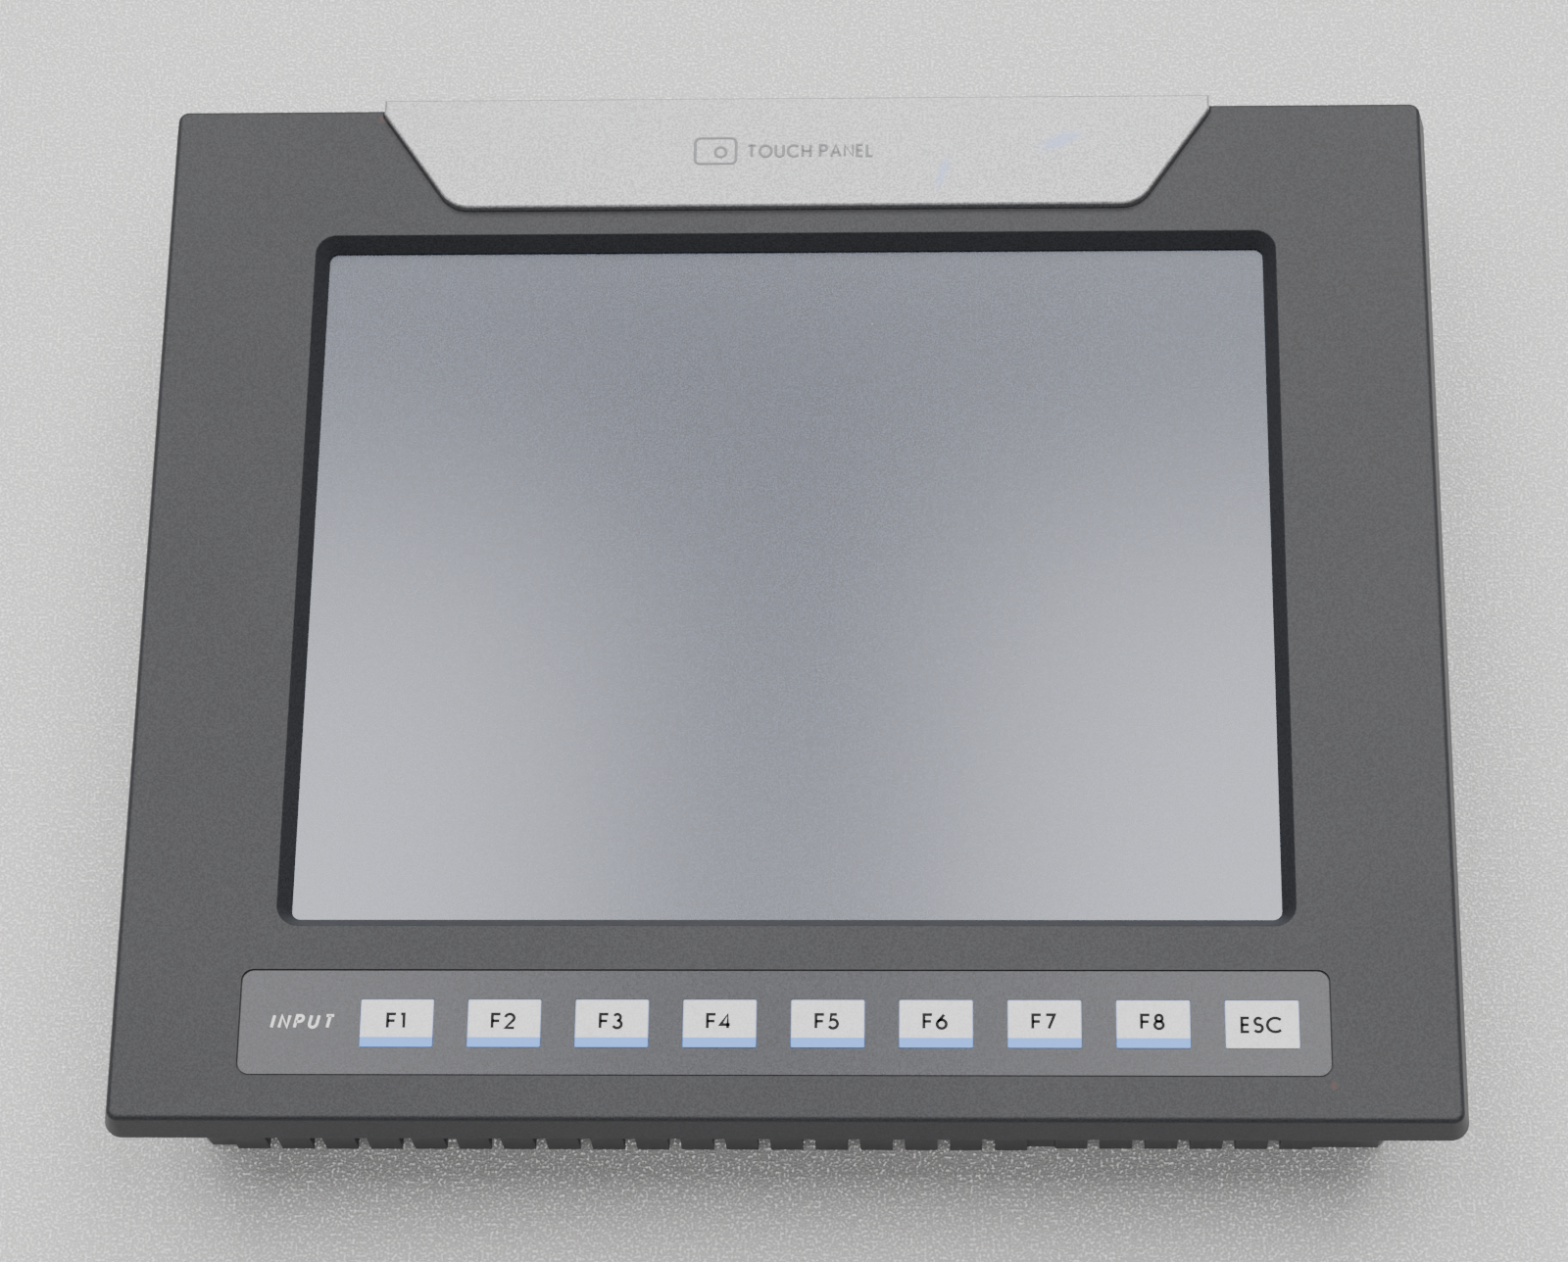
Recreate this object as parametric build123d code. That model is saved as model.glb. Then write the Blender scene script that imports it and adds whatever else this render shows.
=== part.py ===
from build123d import *
import math
import os

# Operator panel with a 10.4 inch touch display and nine keys, lying on its flat
# back.  X runs across the display, Y runs up towards the trim plate, Z comes out
# of the display.  The origin is the centre of the rear face.  Sizes are in mm.

# ---------------------------------------------------------------- overall sizes
PANEL_WIDTH = 289.0
PANEL_HEIGHT = 244.6
PANEL_DEPTH = 59.1

# ------------------------------------------------------------------- front bezel
BEZEL_THICKNESS = 8.3
BEZEL_DRAFT = 1.8
BEZEL_CORNER_RADIUS = 4.0
BEZEL_EDGE_RADIUS = 1.2

# ------------------------------------------------------- display and touch glass
WINDOW_WIDTH = 212.7
WINDOW_HEIGHT = 160.4
WINDOW_CORNER_RADIUS = 2.0
WINDOW_TOP_MARGIN = 36.8
RECESS_DEPTH = 4.5
RECESS_SLOPE_WIDTH = 2.7
RECESS_EDGE_RADIUS = 0.4
LIP_GAP = 0.4
GLASS_OVERLAP = 6.2
GLASS_THICKNESS = 1.9
FOAM_THICKNESS = 0.4
FOAM_SETBACK = 1.5
MODULE_SIDE_MARGIN = 15.2
MODULE_END_MARGIN = 12.4
MODULE_THICKNESS = 10.6
MODULE_SHEET = 0.6
FRAME_SETBACK = 0.5
CELL_THICKNESS = 2.0
CELL_MARGIN = 10.0
CHASSIS_THICKNESS = 1.2

# ------------------------------------------------------------------------ keypad
KEY_COUNT = 9
KEY_WIDTH = 15.45
KEY_HEIGHT = 10.45
KEY_PITCH = 22.89
KEY_ROW_OFFSET = 9.6
KEY_CORNER_RADIUS = 0.25
KEY_FLANGE = 0.6
KEY_FLANGE_THICKNESS = 0.6
KEY_PROUD = 0.06
KEY_TRAVEL = 0.4
KEY_CLEARANCE = 0.15
KEY_PLAY = 0.1
KEY_PLUNGER_RADIUS = 2.5
OVERLAY_WIDTH = 230.8
OVERLAY_HEIGHT = 22.9
OVERLAY_BOTTOM_MARGIN = 11.7
OVERLAY_THICKNESS = 0.4
OVERLAY_SINK = 0.15
OVERLAY_CORNER_RADIUS = 2.5
OVERLAY_GAP = 0.3
KEY_ROW_RISE = 0.2
KEY_BOARD_THICKNESS = 1.6
KEY_BOARD_BORDER = 2.8
KEY_WALL = 2.4
DOME_HEIGHT = 0.5
DOME_RADIUS = 4.5
DOME_GAP = 0.05

# -------------------------------------------------------------------- trim plate
TRIM_RISE = 1.8
TRIM_TOP_WIDTH = 189.6
TRIM_BOTTOM_WIDTH = 156.6
TRIM_LENGTH = 27.9
TRIM_SIDE_LENGTH = 3.7
TRIM_CORNER_RADIUS = 8.0
TRIM_EDGE_RADIUS = 0.7
TRIM_SEAT_DEPTH = 0.8
TRIM_GAP = 0.4
TRIM_HOOK_LENGTH = 5.0

# ------------------------------------------------------------------- panel gasket
GASKET_WIDTH = 6.0
GASKET_THICKNESS = 2.0
GASKET_GROOVE = 1.0
GASKET_INSET = 2.5

# ------------------------------------------------------------------- rear housing
HOUSING_SIDE_MARGIN = 13.0
HOUSING_END_MARGIN = 12.1
HOUSING_WALL = 2.5
HOUSING_CHAMFER = 2.0
HOUSING_EDGE_RADIUS = 0.8
VENT_WIDTH = 2.8
VENT_PITCH = 9.93
VENT_LENGTH = 8.7
VENT_HEIGHT = 12.0
VENT_BANK_START = 14.9
VENT_LONG_BANK = 17
VENT_SHORT_BANK = 5
VENT_BANK_GAP = 23.2
RIB_PROUD_LONG = 0.7
RIB_PROUD_SHORT = 0.25
RIB_PAD_HEIGHT = 14.0
GRILLE_SLOTS = 13
GRILLE_LENGTH = 20.0
GRILLE_TOP_MARGIN = 20.0
CLAMP_SLOT_LENGTH = 12.0
CLAMP_SLOT_WIDTH = 3.0
CLAMP_SLOT_DROP = 16.0
CLAMP_SLOT_SPREAD_X = 160.0
CLAMP_SLOT_SPREAD_Y = 120.0

# ------------------------------------------------------------------ connector bay
BAY_DEPTH = 28.0
BAY_WIDTH = 172.0
BAY_OFFSET = -4.0
BAY_BOTTOM_MARGIN = 12.2
BAY_LENGTH = 38.0
BAY_WALL = 2.5
CABLE_EXIT_LOW = 14.5
CABLE_EXIT_INSET = 4.0

# ------------------------------------------------------------------------- boards
BOARD_THICKNESS = 1.6
BOARD_DROP = 1.4
BOARD_LENGTH = 104.0
BOARD_OVERHANG = 5.0
BOARD_GAP = 0.7
STANDOFF_RADIUS = 3.0
STANDOFF_INSET = 6.0

# ------------------------------------------------------------------------- screws
SCREW_RADIUS = 1.5
SCREW_HEAD_RADIUS = 2.8
SCREW_HEAD_HEIGHT = 2.0
SCREW_LENGTH = 8.0
THREAD_CLEARANCE = 0.05
HOLE_CLEARANCE = 0.2
BOSS_RADIUS = 3.8
BOSS_WALL = 1.0
BOSS_HEIGHT = 6.0
BOSS_INSET = 4.0
SEAT_THICKNESS = 3.0
DRIVE_RADIUS = 1.3
DRIVE_DEPTH = 1.2
SMALL_SCREW_RADIUS = 1.05
SMALL_SCREW_BITE = 1.4
SMALL_HEAD_HEIGHT = 1.2

# -------------------------------------------------------------- battery and covers
COVER_GAP = 0.35
COVER_SINK = 0.4
COVER_THICKNESS = 1.8
BATTERY_RADIUS = 12.25
BATTERY_THICKNESS = 5.0
BATTERY_WALL = 2.2
BATTERY_EDGE_RADIUS = 0.6
BATTERY_X = -76.0
BATTERY_Y = 30.0
DOOR_MARGIN = 3.0
NOTCH_WIDTH = 12.0
NOTCH_LENGTH = 2.2
HINGE_PIN_RADIUS = 0.6
HINGE_PIN_LENGTH = 1.6
PIN_CLEARANCE = 0.05
PORT_X = -6.0
PORT_Y = -34.0
PORT_WIDTH = 46.0
PORT_HEIGHT = 18.0
PORT_DEPTH = 7.0
COVER_TRAVEL = 40.0
RAIL_WIDTH = 1.4
GRIP_COUNT = 4
GRIP_WIDTH = 1.2
MODULE_HEADER_SIZE = (38.0, 8.0)
MODULE_HEADER_WALL = 2.3
LABEL_WIDTH = 62.0
LABEL_HEIGHT = 36.0
LABEL_THICKNESS = 0.2
LABEL_SINK = 0.1
LABEL_CORNER_RADIUS = 1.5
LABEL_X = 6.0
LABEL_Y = 22.0

# ---------------------------------------------------------------------- connectors
CONNECTOR_GAP = 0.3
PLUG_GAP = 0.15
PLUG_INSERT = 8.3
PLUG_STICKOUT = 8.0
PLUG_STEP = 2.4
PLUG_END = 0.6
PIN_SIDE = 1.0
PIN_LENGTH = 6.0
WIRE_ENTRY = 2.6
WIRE_STOP = 2.0
CLAMP_WELL_RADIUS = 1.5
CLAMP_WEB = 0.4
CLAMP_SINK = 0.8
CLAMP_SLOT = 0.5
HEADER_WALL = 1.0
HEADER_LENGTH = 12.0
TERMINAL_HEIGHT = 7.0
POWER_PINS = 3
POWER_PITCH = 5.08
POWER_X = -74.0
FIELDBUS_PINS = 5
FIELDBUS_PITCH = 3.5
FIELDBUS_X = -47.0
SERIAL_X = -12.0
SERIAL_FLANGE = (30.8, 12.5, 0.8)
SERIAL_SHELL = (16.9, 8.3, 5.8)
SERIAL_BODY = (19.2, 10.6, 9.0)
SERIAL_PITCH = 2.77
SERIAL_ROWS = 2.84
SERIAL_PIN_RADIUS = 0.5
SHELL_THICKNESS = 0.5
D_SLOPE = 10.0
D_CORNER_RADIUS = 2.0
JACK_SPACING = 24.99
JACK_RADIUS = 2.9
JACK_LENGTH = 5.0
JACK_BORE_RADIUS = 1.2
JACK_FLOOR = 0.4
ETHERNET_X = 18.0
ETHERNET_SIZE = (16.2, 16.0, 13.4)
ETHERNET_MOUTH = (11.8, 12.5, 6.9)
LATCH_WIDTH = 4.8
LATCH_HEIGHT = 4.0
CONTACT_COUNT = 8
CONTACT_PITCH = 1.02
CONTACT_RISE = 1.2
USB_X = 38.0
USB_SIZE = (13.1, 14.0, 5.8)
USB_SHEET = 0.4
USB_TONGUE = (11.0, 1.8)
CARD_X = 61.0
CARD_SIZE = (27.0, 26.0, 3.6)
CARD_MOUTH = (24.6, 22.0, 2.4)
EARTH_X = -103.0
EARTH_Y = -80.0
INSERT_RADIUS = 3.0
INSERT_LENGTH = 8.0
INSERT_SINK = 0.2
INSERT_BORE_RADIUS = 1.65
INSERT_BORE_DEPTH = 7.0
PROCESSOR_SIZE = (27.0, 27.0, 2.3)
HEAT_SINK_SIZE = (34.0, 34.0, 9.0)
CHIP_INSET_X = 14.0
CHIP_INSET_Y = 12.0
FIN_COUNT = 8
FIN_WIDTH = 2.0
FIN_BASE = 2.0
CAPACITOR_RADIUS = 5.0
CAPACITOR_HEIGHT = 11.0
CAPACITOR_PITCH = 12.0
DRIVER_SIZE = (80.0, 20.0)
DRIVER_DROP = 1.0
DRIVER_INSET = 4.0
DRIVER_FOOT_RADIUS = 2.5
CABLE_THICKNESS = 0.4
CABLE_WIDTH = 22.0
CABLE_BEND = 8.0
RIBBON_LAP = 3.0
RIBBON_DROP = 3.0
DISPLAY_CABLE_INSET = 20.0

# ------------------------------------------------------- levels along the Z axis
bezel_front = PANEL_DEPTH - TRIM_RISE
bezel_back = bezel_front - BEZEL_THICKNESS
glass_front = bezel_front - RECESS_DEPTH
glass_back = glass_front - GLASS_THICKNESS
lip_back = glass_front + LIP_GAP
module_front = glass_back - FOAM_THICKNESS
module_back = module_front - MODULE_THICKNESS
chassis_back = module_back - CHASSIS_THICKNESS
board_back = BAY_DEPTH - BOARD_DROP
board_front = board_back + BOARD_THICKNESS
overlay_front = bezel_front - OVERLAY_SINK
overlay_back = overlay_front - OVERLAY_THICKNESS
key_board_front = overlay_back - KEY_WALL
key_board_back = key_board_front - KEY_BOARD_THICKNESS
dome_top = key_board_front + DOME_HEIGHT
trim_seat = bezel_front - TRIM_SEAT_DEPTH
screw_floor = bezel_back - BOSS_HEIGHT
screw_seat = screw_floor - SEAT_THICKNESS
small_screw_top = key_board_front + SMALL_SCREW_BITE

# --------------------------------------------------------- places across the panel
half_width = PANEL_WIDTH / 2
half_height = PANEL_HEIGHT / 2
display_y = half_height - WINDOW_TOP_MARGIN - WINDOW_HEIGHT / 2
module_width = WINDOW_WIDTH + 2 * MODULE_SIDE_MARGIN
module_height = WINDOW_HEIGHT + 2 * MODULE_END_MARGIN
glass_width = WINDOW_WIDTH + 2 * GLASS_OVERLAP
glass_height = WINDOW_HEIGHT + 2 * GLASS_OVERLAP
overlay_y = -half_height + OVERLAY_BOTTOM_MARGIN + OVERLAY_HEIGHT / 2
key_row_y = overlay_y - KEY_ROW_RISE
key_row_length = (KEY_COUNT - 1) * KEY_PITCH + KEY_WIDTH
key_board_width = key_row_length + 2 * KEY_BOARD_BORDER
key_board_height = KEY_HEIGHT + 2 * KEY_BOARD_BORDER
housing_width = PANEL_WIDTH - 2 * HOUSING_SIDE_MARGIN
housing_height = PANEL_HEIGHT - 2 * HOUSING_END_MARGIN
inner_width = housing_width - 2 * HOUSING_WALL
inner_height = housing_height - 2 * HOUSING_WALL
bay_bottom = -housing_height / 2 + BAY_BOTTOM_MARGIN
bay_top = bay_bottom + BAY_LENGTH
connector_z = (board_back - CONNECTOR_GAP) - ETHERNET_SIZE[2] / 2
battery_well = 2 * BATTERY_RADIUS + 2 * BATTERY_WALL + 2 * COVER_GAP
cover_back = COVER_SINK + COVER_THICKNESS
battery_ceiling = cover_back + COVER_GAP + BATTERY_THICKNESS + BATTERY_WALL
key_names = [f"key_f{i + 1}" for i in range(KEY_COUNT - 1)] + ["key_esc"]
key_xs = [KEY_ROW_OFFSET + (i - (KEY_COUNT - 1) / 2) * KEY_PITCH for i in range(KEY_COUNT)]
corner_x = inner_width / 2 - BOSS_INSET
corner_y = inner_height / 2 - BOSS_INSET
housing_screw_places = [(sx * corner_x, sy * corner_y) for sx in (-1, 1) for sy in (-1, 1)]
housing_screw_places += [(sx * corner_x / 3, corner_y) for sx in (-1, 1)]
screw_column = BOSS_RADIUS + BOSS_WALL
chassis_screw_x = (module_width + inner_width) / 4
chassis_screw_places = [
    (sx * chassis_screw_x, display_y + sy * module_height / 3) for sx in (-1, 1) for sy in (-1, 1)
]
board_left = BAY_OFFSET - BAY_WIDTH / 2 - BOARD_OVERHANG
board_right = BAY_OFFSET + BAY_WIDTH / 2 + BOARD_OVERHANG
board_bottom = bay_top + BAY_WALL + BOARD_GAP
board_top = board_bottom + BOARD_LENGTH
standoff_places = [
    (x, y)
    for x in (board_left + STANDOFF_INSET, board_right - STANDOFF_INSET)
    for y in (board_bottom + STANDOFF_INSET + 2, board_top - STANDOFF_INSET)
]
key_screw_places = [(key_xs[i] + KEY_PITCH / 2, key_row_y) for i in (0, KEY_COUNT // 2 - 1, KEY_COUNT - 2)]


# A cut starts or ends this far outside the solid that it opens.
CUT = 1.0


# ------------------------------------------------------------------ simple shapes
def slab(xs, ys, zs):
    """Box between two values on each axis."""
    centre = [(low + high) / 2 for low, high in (xs, ys, zs)]
    size = [high - low for low, high in (xs, ys, zs)]
    return Pos(*centre) * Box(*size)


def centred_slab(x, y, width, height, zs):
    """Box centred on x and y, between two levels."""
    return slab((x - width / 2, x + width / 2), (y - height / 2, y + height / 2), zs)


def rounded_slab(x, y, width, height, radius, zs, taper=0.0):
    """Rounded rectangle between two levels, narrowing upwards by the taper angle."""
    outline = Pos(x, y, zs[0]) * RectangleRounded(width, height, radius)
    return extrude(outline, zs[1] - zs[0], dir=(0, 0, 1), taper=taper)


def post(x, y, radius, zs):
    """Upright cylinder between two levels."""
    return Pos(x, y, (zs[0] + zs[1]) / 2) * Cylinder(radius, zs[1] - zs[0])


def bar_y(x, z, radius, ys):
    """Cylinder along Y."""
    return Pos(x, (ys[0] + ys[1]) / 2, z) * Rot(90, 0, 0) * Cylinder(radius, ys[1] - ys[0])


def bar_x(y, z, radius, xs):
    """Cylinder along X."""
    return Pos((xs[0] + xs[1]) / 2, y, z) * Rot(0, 90, 0) * Cylinder(radius, xs[1] - xs[0])


def joined(shapes):
    """Union of a list of touching shapes."""
    whole = shapes[0]
    for shape in shapes[1:]:
        whole = whole + shape
    return whole


def ring(x, y, outer, inner, radius, zs):
    """Rectangular ring: an outer rounded slab with a rounded hole."""
    body = rounded_slab(x, y, outer[0], outer[1], radius, zs)
    hole = rounded_slab(x, y, inner[0], inner[1], radius, (zs[0] - CUT, zs[1] + CUT))
    return body - hole


def screw_up(x, y, seat, length=SCREW_LENGTH):
    """Cross-drive pan screw whose head is below the seat level, pointing up."""
    head = post(x, y, SCREW_HEAD_RADIUS, (seat - SCREW_HEAD_HEIGHT, seat))
    head = fillet(head.edges().sort_by(Axis.Z)[0], SCREW_HEAD_HEIGHT * 0.45)
    shank = post(x, y, SCREW_RADIUS, (seat, seat + length))
    low = seat - SCREW_HEAD_HEIGHT
    arms = [(2 * DRIVE_RADIUS, DRIVE_RADIUS * 0.45), (DRIVE_RADIUS * 0.45, 2 * DRIVE_RADIUS)]
    drive = [centred_slab(x, y, w, h, (low - CUT, low + DRIVE_DEPTH)) for w, h in arms]
    return head + shank - joined(drive)


# -------------------------------------------------------------------- front pieces
def bezel_blank():
    """Drafted frame outline with its front edge rounded, before any cut."""
    draft_angle = math.degrees(math.atan(BEZEL_DRAFT / BEZEL_THICKNESS))
    levels = (bezel_back, bezel_front)
    blank = rounded_slab(0, 0, PANEL_WIDTH, PANEL_HEIGHT, BEZEL_CORNER_RADIUS, levels, draft_angle)
    return fillet(blank.faces().sort_by(Axis.Z)[-1].edges(), BEZEL_EDGE_RADIUS)


def trim_outline(grow=0.0, extend=0.0):
    """Outline of the trim plate: a short straight top and slanted, rounded flanks."""
    top = half_height + extend
    shoulder = half_height - TRIM_SIDE_LENGTH
    bottom = half_height - TRIM_LENGTH - grow
    wide = TRIM_TOP_WIDTH / 2 + grow
    narrow = TRIM_BOTTOM_WIDTH / 2 + grow
    right = [(narrow, bottom), (wide, shoulder), (wide, top)]
    left = [(-x, y) for x, y in reversed(right)]
    outline = make_face(Polyline(*right, *left, close=True))
    low_corners = outline.vertices().sort_by(Axis.Y)[:2]
    return fillet(low_corners, TRIM_CORNER_RADIUS)


def make_front_bezel(blank):
    """Bezel: recess and window, trim seat, overlay pocket, key wells and bosses."""
    slope = math.degrees(math.atan(RECESS_SLOPE_WIDTH / (bezel_front - lip_back)))
    window = (WINDOW_WIDTH, WINDOW_HEIGHT, WINDOW_CORNER_RADIUS)
    body = blank - rounded_slab(0, display_y, *window, (lip_back, bezel_front), -slope)
    front_face = body.faces().sort_by(Axis.Z)[-1]
    body = fillet(front_face.inner_wires()[0].edges(), RECESS_EDGE_RADIUS)
    body -= extrude(Pos(0, 0, trim_seat) * trim_outline(TRIM_GAP, 2.0), PANEL_DEPTH, dir=(0, 0, 1))
    pocket = (OVERLAY_WIDTH + 2 * OVERLAY_GAP, OVERLAY_HEIGHT + 2 * OVERLAY_GAP)
    body -= rounded_slab(0, overlay_y, *pocket, OVERLAY_CORNER_RADIUS, (overlay_back, PANEL_DEPTH))
    around = 2 * (KEY_FLANGE + KEY_CLEARANCE)
    well = (KEY_WIDTH + around, KEY_HEIGHT + around)
    for x in key_xs:
        body -= centred_slab(x, key_row_y, *well, (bezel_back, PANEL_DEPTH))
    clear = 2 * HOLE_CLEARANCE
    board = (key_board_width + clear, key_board_height + clear)
    body -= centred_slab(KEY_ROW_OFFSET, key_row_y, *board, (bezel_back - CUT, key_board_front))
    glass = (glass_width + 2 * clear, glass_height + 2 * clear)
    body -= centred_slab(0, display_y, *glass, (bezel_back - CUT, lip_back))
    module = (module_width + 2 * clear, module_height + 2 * clear)
    body -= centred_slab(0, display_y, *module, (bezel_back - CUT, glass_back))
    body -= gasket_ring(bezel_back - CUT, bezel_back + GASKET_GROOVE)
    bore = SCREW_RADIUS + THREAD_CLEARANCE
    for x, y in housing_screw_places:
        body += post(x, y, BOSS_RADIUS, (screw_floor, bezel_back))
        body -= post(x, y, bore, (screw_floor - CUT, screw_seat + SCREW_LENGTH + HOLE_CLEARANCE))
    for x, y in chassis_screw_places:
        body += post(x, y, chassis_boss_radius(), (module_back, bezel_back))
        body -= post(x, y, bore, (module_back - CUT, chassis_back + SCREW_LENGTH + HOLE_CLEARANCE))
    for x, y in key_screw_places:
        levels = (bezel_back, small_screw_top + HOLE_CLEARANCE)
        body -= post(x, y, SMALL_SCREW_RADIUS + THREAD_CLEARANCE, levels)
    return body


def chassis_boss_radius():
    """Boss radius that fits between the display module and the housing wall."""
    return (inner_width - module_width) / 4 - HOLE_CLEARANCE


def gasket_ring(low, high):
    """Ring around the housing on the rear face of the bezel."""
    inner = (housing_width + 2 * GASKET_INSET, housing_height + 2 * GASKET_INSET)
    outer = (inner[0] + 2 * GASKET_WIDTH, inner[1] + 2 * GASKET_WIDTH)
    return ring(0, 0, outer, inner, BEZEL_CORNER_RADIUS, (low, high))


def make_trim_plate(blank):
    """Raised plate with a hook that wraps over the drafted top edge of the bezel."""
    outline = trim_outline()
    plate = extrude(Pos(0, 0, trim_seat) * outline, PANEL_DEPTH - trim_seat, dir=(0, 0, 1))
    plate = fillet(plate.faces().sort_by(Axis.Z)[-1].edges(), TRIM_EDGE_RADIUS)
    hook_low = bezel_front - TRIM_HOOK_LENGTH
    hook = extrude(Pos(0, 0, hook_low) * outline, trim_seat - hook_low, dir=(0, 0, 1)) - blank
    return plate + hook


def make_keypad_overlay():
    """Thin film in the bezel pocket, open over each key."""
    levels = (overlay_back, overlay_front)
    film = rounded_slab(0, overlay_y, OVERLAY_WIDTH, OVERLAY_HEIGHT, OVERLAY_CORNER_RADIUS, levels)
    width = KEY_WIDTH + 2 * KEY_CLEARANCE
    height = KEY_HEIGHT + 2 * KEY_CLEARANCE
    radius = KEY_CORNER_RADIUS + KEY_CLEARANCE
    through = (overlay_back - CUT, overlay_front + CUT)
    for x in key_xs:
        film -= rounded_slab(x, key_row_y, width, height, radius, through)
    return film


def make_key(x):
    """Key cap with a flange held under the film and a plunger over its dome."""
    flange_top = overlay_back - KEY_PLAY
    flange_low = flange_top - KEY_FLANGE_THICKNESS
    face = (KEY_WIDTH, KEY_HEIGHT, KEY_CORNER_RADIUS)
    cap = rounded_slab(x, key_row_y, *face, (flange_low, overlay_front + KEY_PROUD))
    rim = (KEY_WIDTH + 2 * KEY_FLANGE, KEY_HEIGHT + 2 * KEY_FLANGE)
    flange = centred_slab(x, key_row_y, *rim, (flange_low, flange_top))
    plunger = post(x, key_row_y, KEY_PLUNGER_RADIUS, (dome_top + DOME_GAP, flange_low))
    return cap + flange + plunger


def make_keypad_board():
    """Circuit board under the key row, held by small screws."""
    levels = (key_board_back, key_board_front)
    board = centred_slab(KEY_ROW_OFFSET, key_row_y, key_board_width, key_board_height, levels)
    through = (key_board_back - CUT, key_board_front + CUT)
    for x, y in key_screw_places:
        board -= post(x, y, SMALL_SCREW_RADIUS + HOLE_CLEARANCE, through)
    return board


def make_snap_domes():
    """One shallow metal dome under each key."""
    cone = Cone(DOME_RADIUS, DOME_RADIUS * 0.6, DOME_HEIGHT)
    return [Pos(x, key_row_y, key_board_front + DOME_HEIGHT / 2) * cone for x in key_xs]


def make_keypad_screws():
    """Small screws that hold the key board against the bezel."""
    screws = []
    for x, y in key_screw_places:
        head = post(x, y, 2 * SMALL_SCREW_RADIUS, (key_board_back - SMALL_HEAD_HEIGHT, key_board_back))
        screws.append(head + post(x, y, SMALL_SCREW_RADIUS, (key_board_back, small_screw_top)))
    return screws


# ------------------------------------------------------------------ display pieces
def foam_ring(low, high):
    """Foam frame just outside the visible window."""
    inner = (WINDOW_WIDTH + 2 * FOAM_SETBACK, WINDOW_HEIGHT + 2 * FOAM_SETBACK)
    outer = (glass_width - HOLE_CLEARANCE, glass_height - HOLE_CLEARANCE)
    return ring(0, display_y, outer, inner, WINDOW_CORNER_RADIUS, (low, high))


def make_touch_glass():
    """Touch sensor glass that closes the window from behind."""
    return centred_slab(0, display_y, glass_width, glass_height, (glass_back, glass_front))


def make_lcd_frame():
    """Folded sheet frame around the display, open at the back."""
    body = centred_slab(0, display_y, module_width, module_height, (module_back, module_front))
    inside = (module_width - 2 * MODULE_SHEET, module_height - 2 * MODULE_SHEET)
    body -= centred_slab(0, display_y, *inside, (module_back - CUT, module_front - MODULE_SHEET))
    window = (WINDOW_WIDTH + 2 * FRAME_SETBACK, WINDOW_HEIGHT + 2 * FRAME_SETBACK)
    return body - centred_slab(0, display_y, *window, (module_back - CUT, module_front + CUT))


def make_lcd_glass():
    """Liquid crystal cell behind the sheet frame."""
    top = module_front - MODULE_SHEET
    size = (WINDOW_WIDTH + 2 * CELL_MARGIN, WINDOW_HEIGHT + 2 * CELL_MARGIN)
    return centred_slab(0, display_y, *size, (top - CELL_THICKNESS, top))


def make_backlight_unit():
    """Light guide and reflector block that fills the frame behind the cell."""
    top = module_front - MODULE_SHEET - CELL_THICKNESS
    clear = 2 * (MODULE_SHEET + HOLE_CLEARANCE)
    size = (module_width - clear, module_height - clear)
    return centred_slab(0, display_y, *size, (module_back, top))


def make_display_chassis():
    """Sheet plate that carries the display on one side and the board on the other."""
    levels = (chassis_back, module_back)
    plate = centred_slab(0, display_y, inner_width - 2 * BOSS_WALL, module_height, levels)
    clear = SCREW_RADIUS + HOLE_CLEARANCE
    for x, y in chassis_screw_places + standoff_places:
        plate -= post(x, y, clear, (chassis_back - CUT, module_back + CUT))
    return plate


def make_panel_gasket():
    """Rubber seal in the groove on the rear face of the bezel."""
    top = bezel_back + GASKET_GROOVE
    return gasket_ring(top - GASKET_THICKNESS, top)


# -------------------------------------------------------------------- rear housing
def vent_xs():
    """Left edges of the vent slots: a long bank and, after a gap, a short bank."""
    start = -housing_width / 2 + VENT_BANK_START
    long_bank = [start + i * VENT_PITCH for i in range(VENT_LONG_BANK)]
    short_start = long_bank[-1] + VENT_BANK_GAP
    return long_bank, [short_start + i * VENT_PITCH for i in range(VENT_SHORT_BANK)]


def rib_pads(side):
    """Slightly proud pads along the rear edge, later cut into ribs by the vents."""
    long_bank, short_bank = vent_xs()
    rib = VENT_PITCH - VENT_WIDTH
    edge = side * housing_height / 2
    pads = []
    for bank, proud in ((long_bank, RIB_PROUD_LONG), (short_bank, RIB_PROUD_SHORT)):
        xs = (bank[0] - rib, bank[-1] + VENT_PITCH)
        ys = sorted((edge - side * HOUSING_WALL / 2, edge + side * proud))
        pads.append(slab(xs, ys, (0, RIB_PAD_HEIGHT)))
    return pads


def misses_screws(x, side):
    """Whether a vent slot keeps clear of the screw columns beside that wall."""
    centre = x + VENT_WIDTH / 2
    reach = screw_column + VENT_WIDTH / 2
    return all(abs(centre - sx) > reach for sx, sy in housing_screw_places if sy * side > 0)


def vent_cuts(side):
    """Slots that wrap round the rear edge of the top or bottom wall."""
    long_bank, short_bank = vent_xs()
    edge = side * housing_height / 2
    ys = sorted((edge - side * VENT_LENGTH, edge + side * (RIB_PROUD_LONG + CUT)))
    xs = [x for x in long_bank + short_bank if misses_screws(x, side)]
    return [slab((x, x + VENT_WIDTH), ys, (-CUT, VENT_HEIGHT)) for x in xs]


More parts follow.
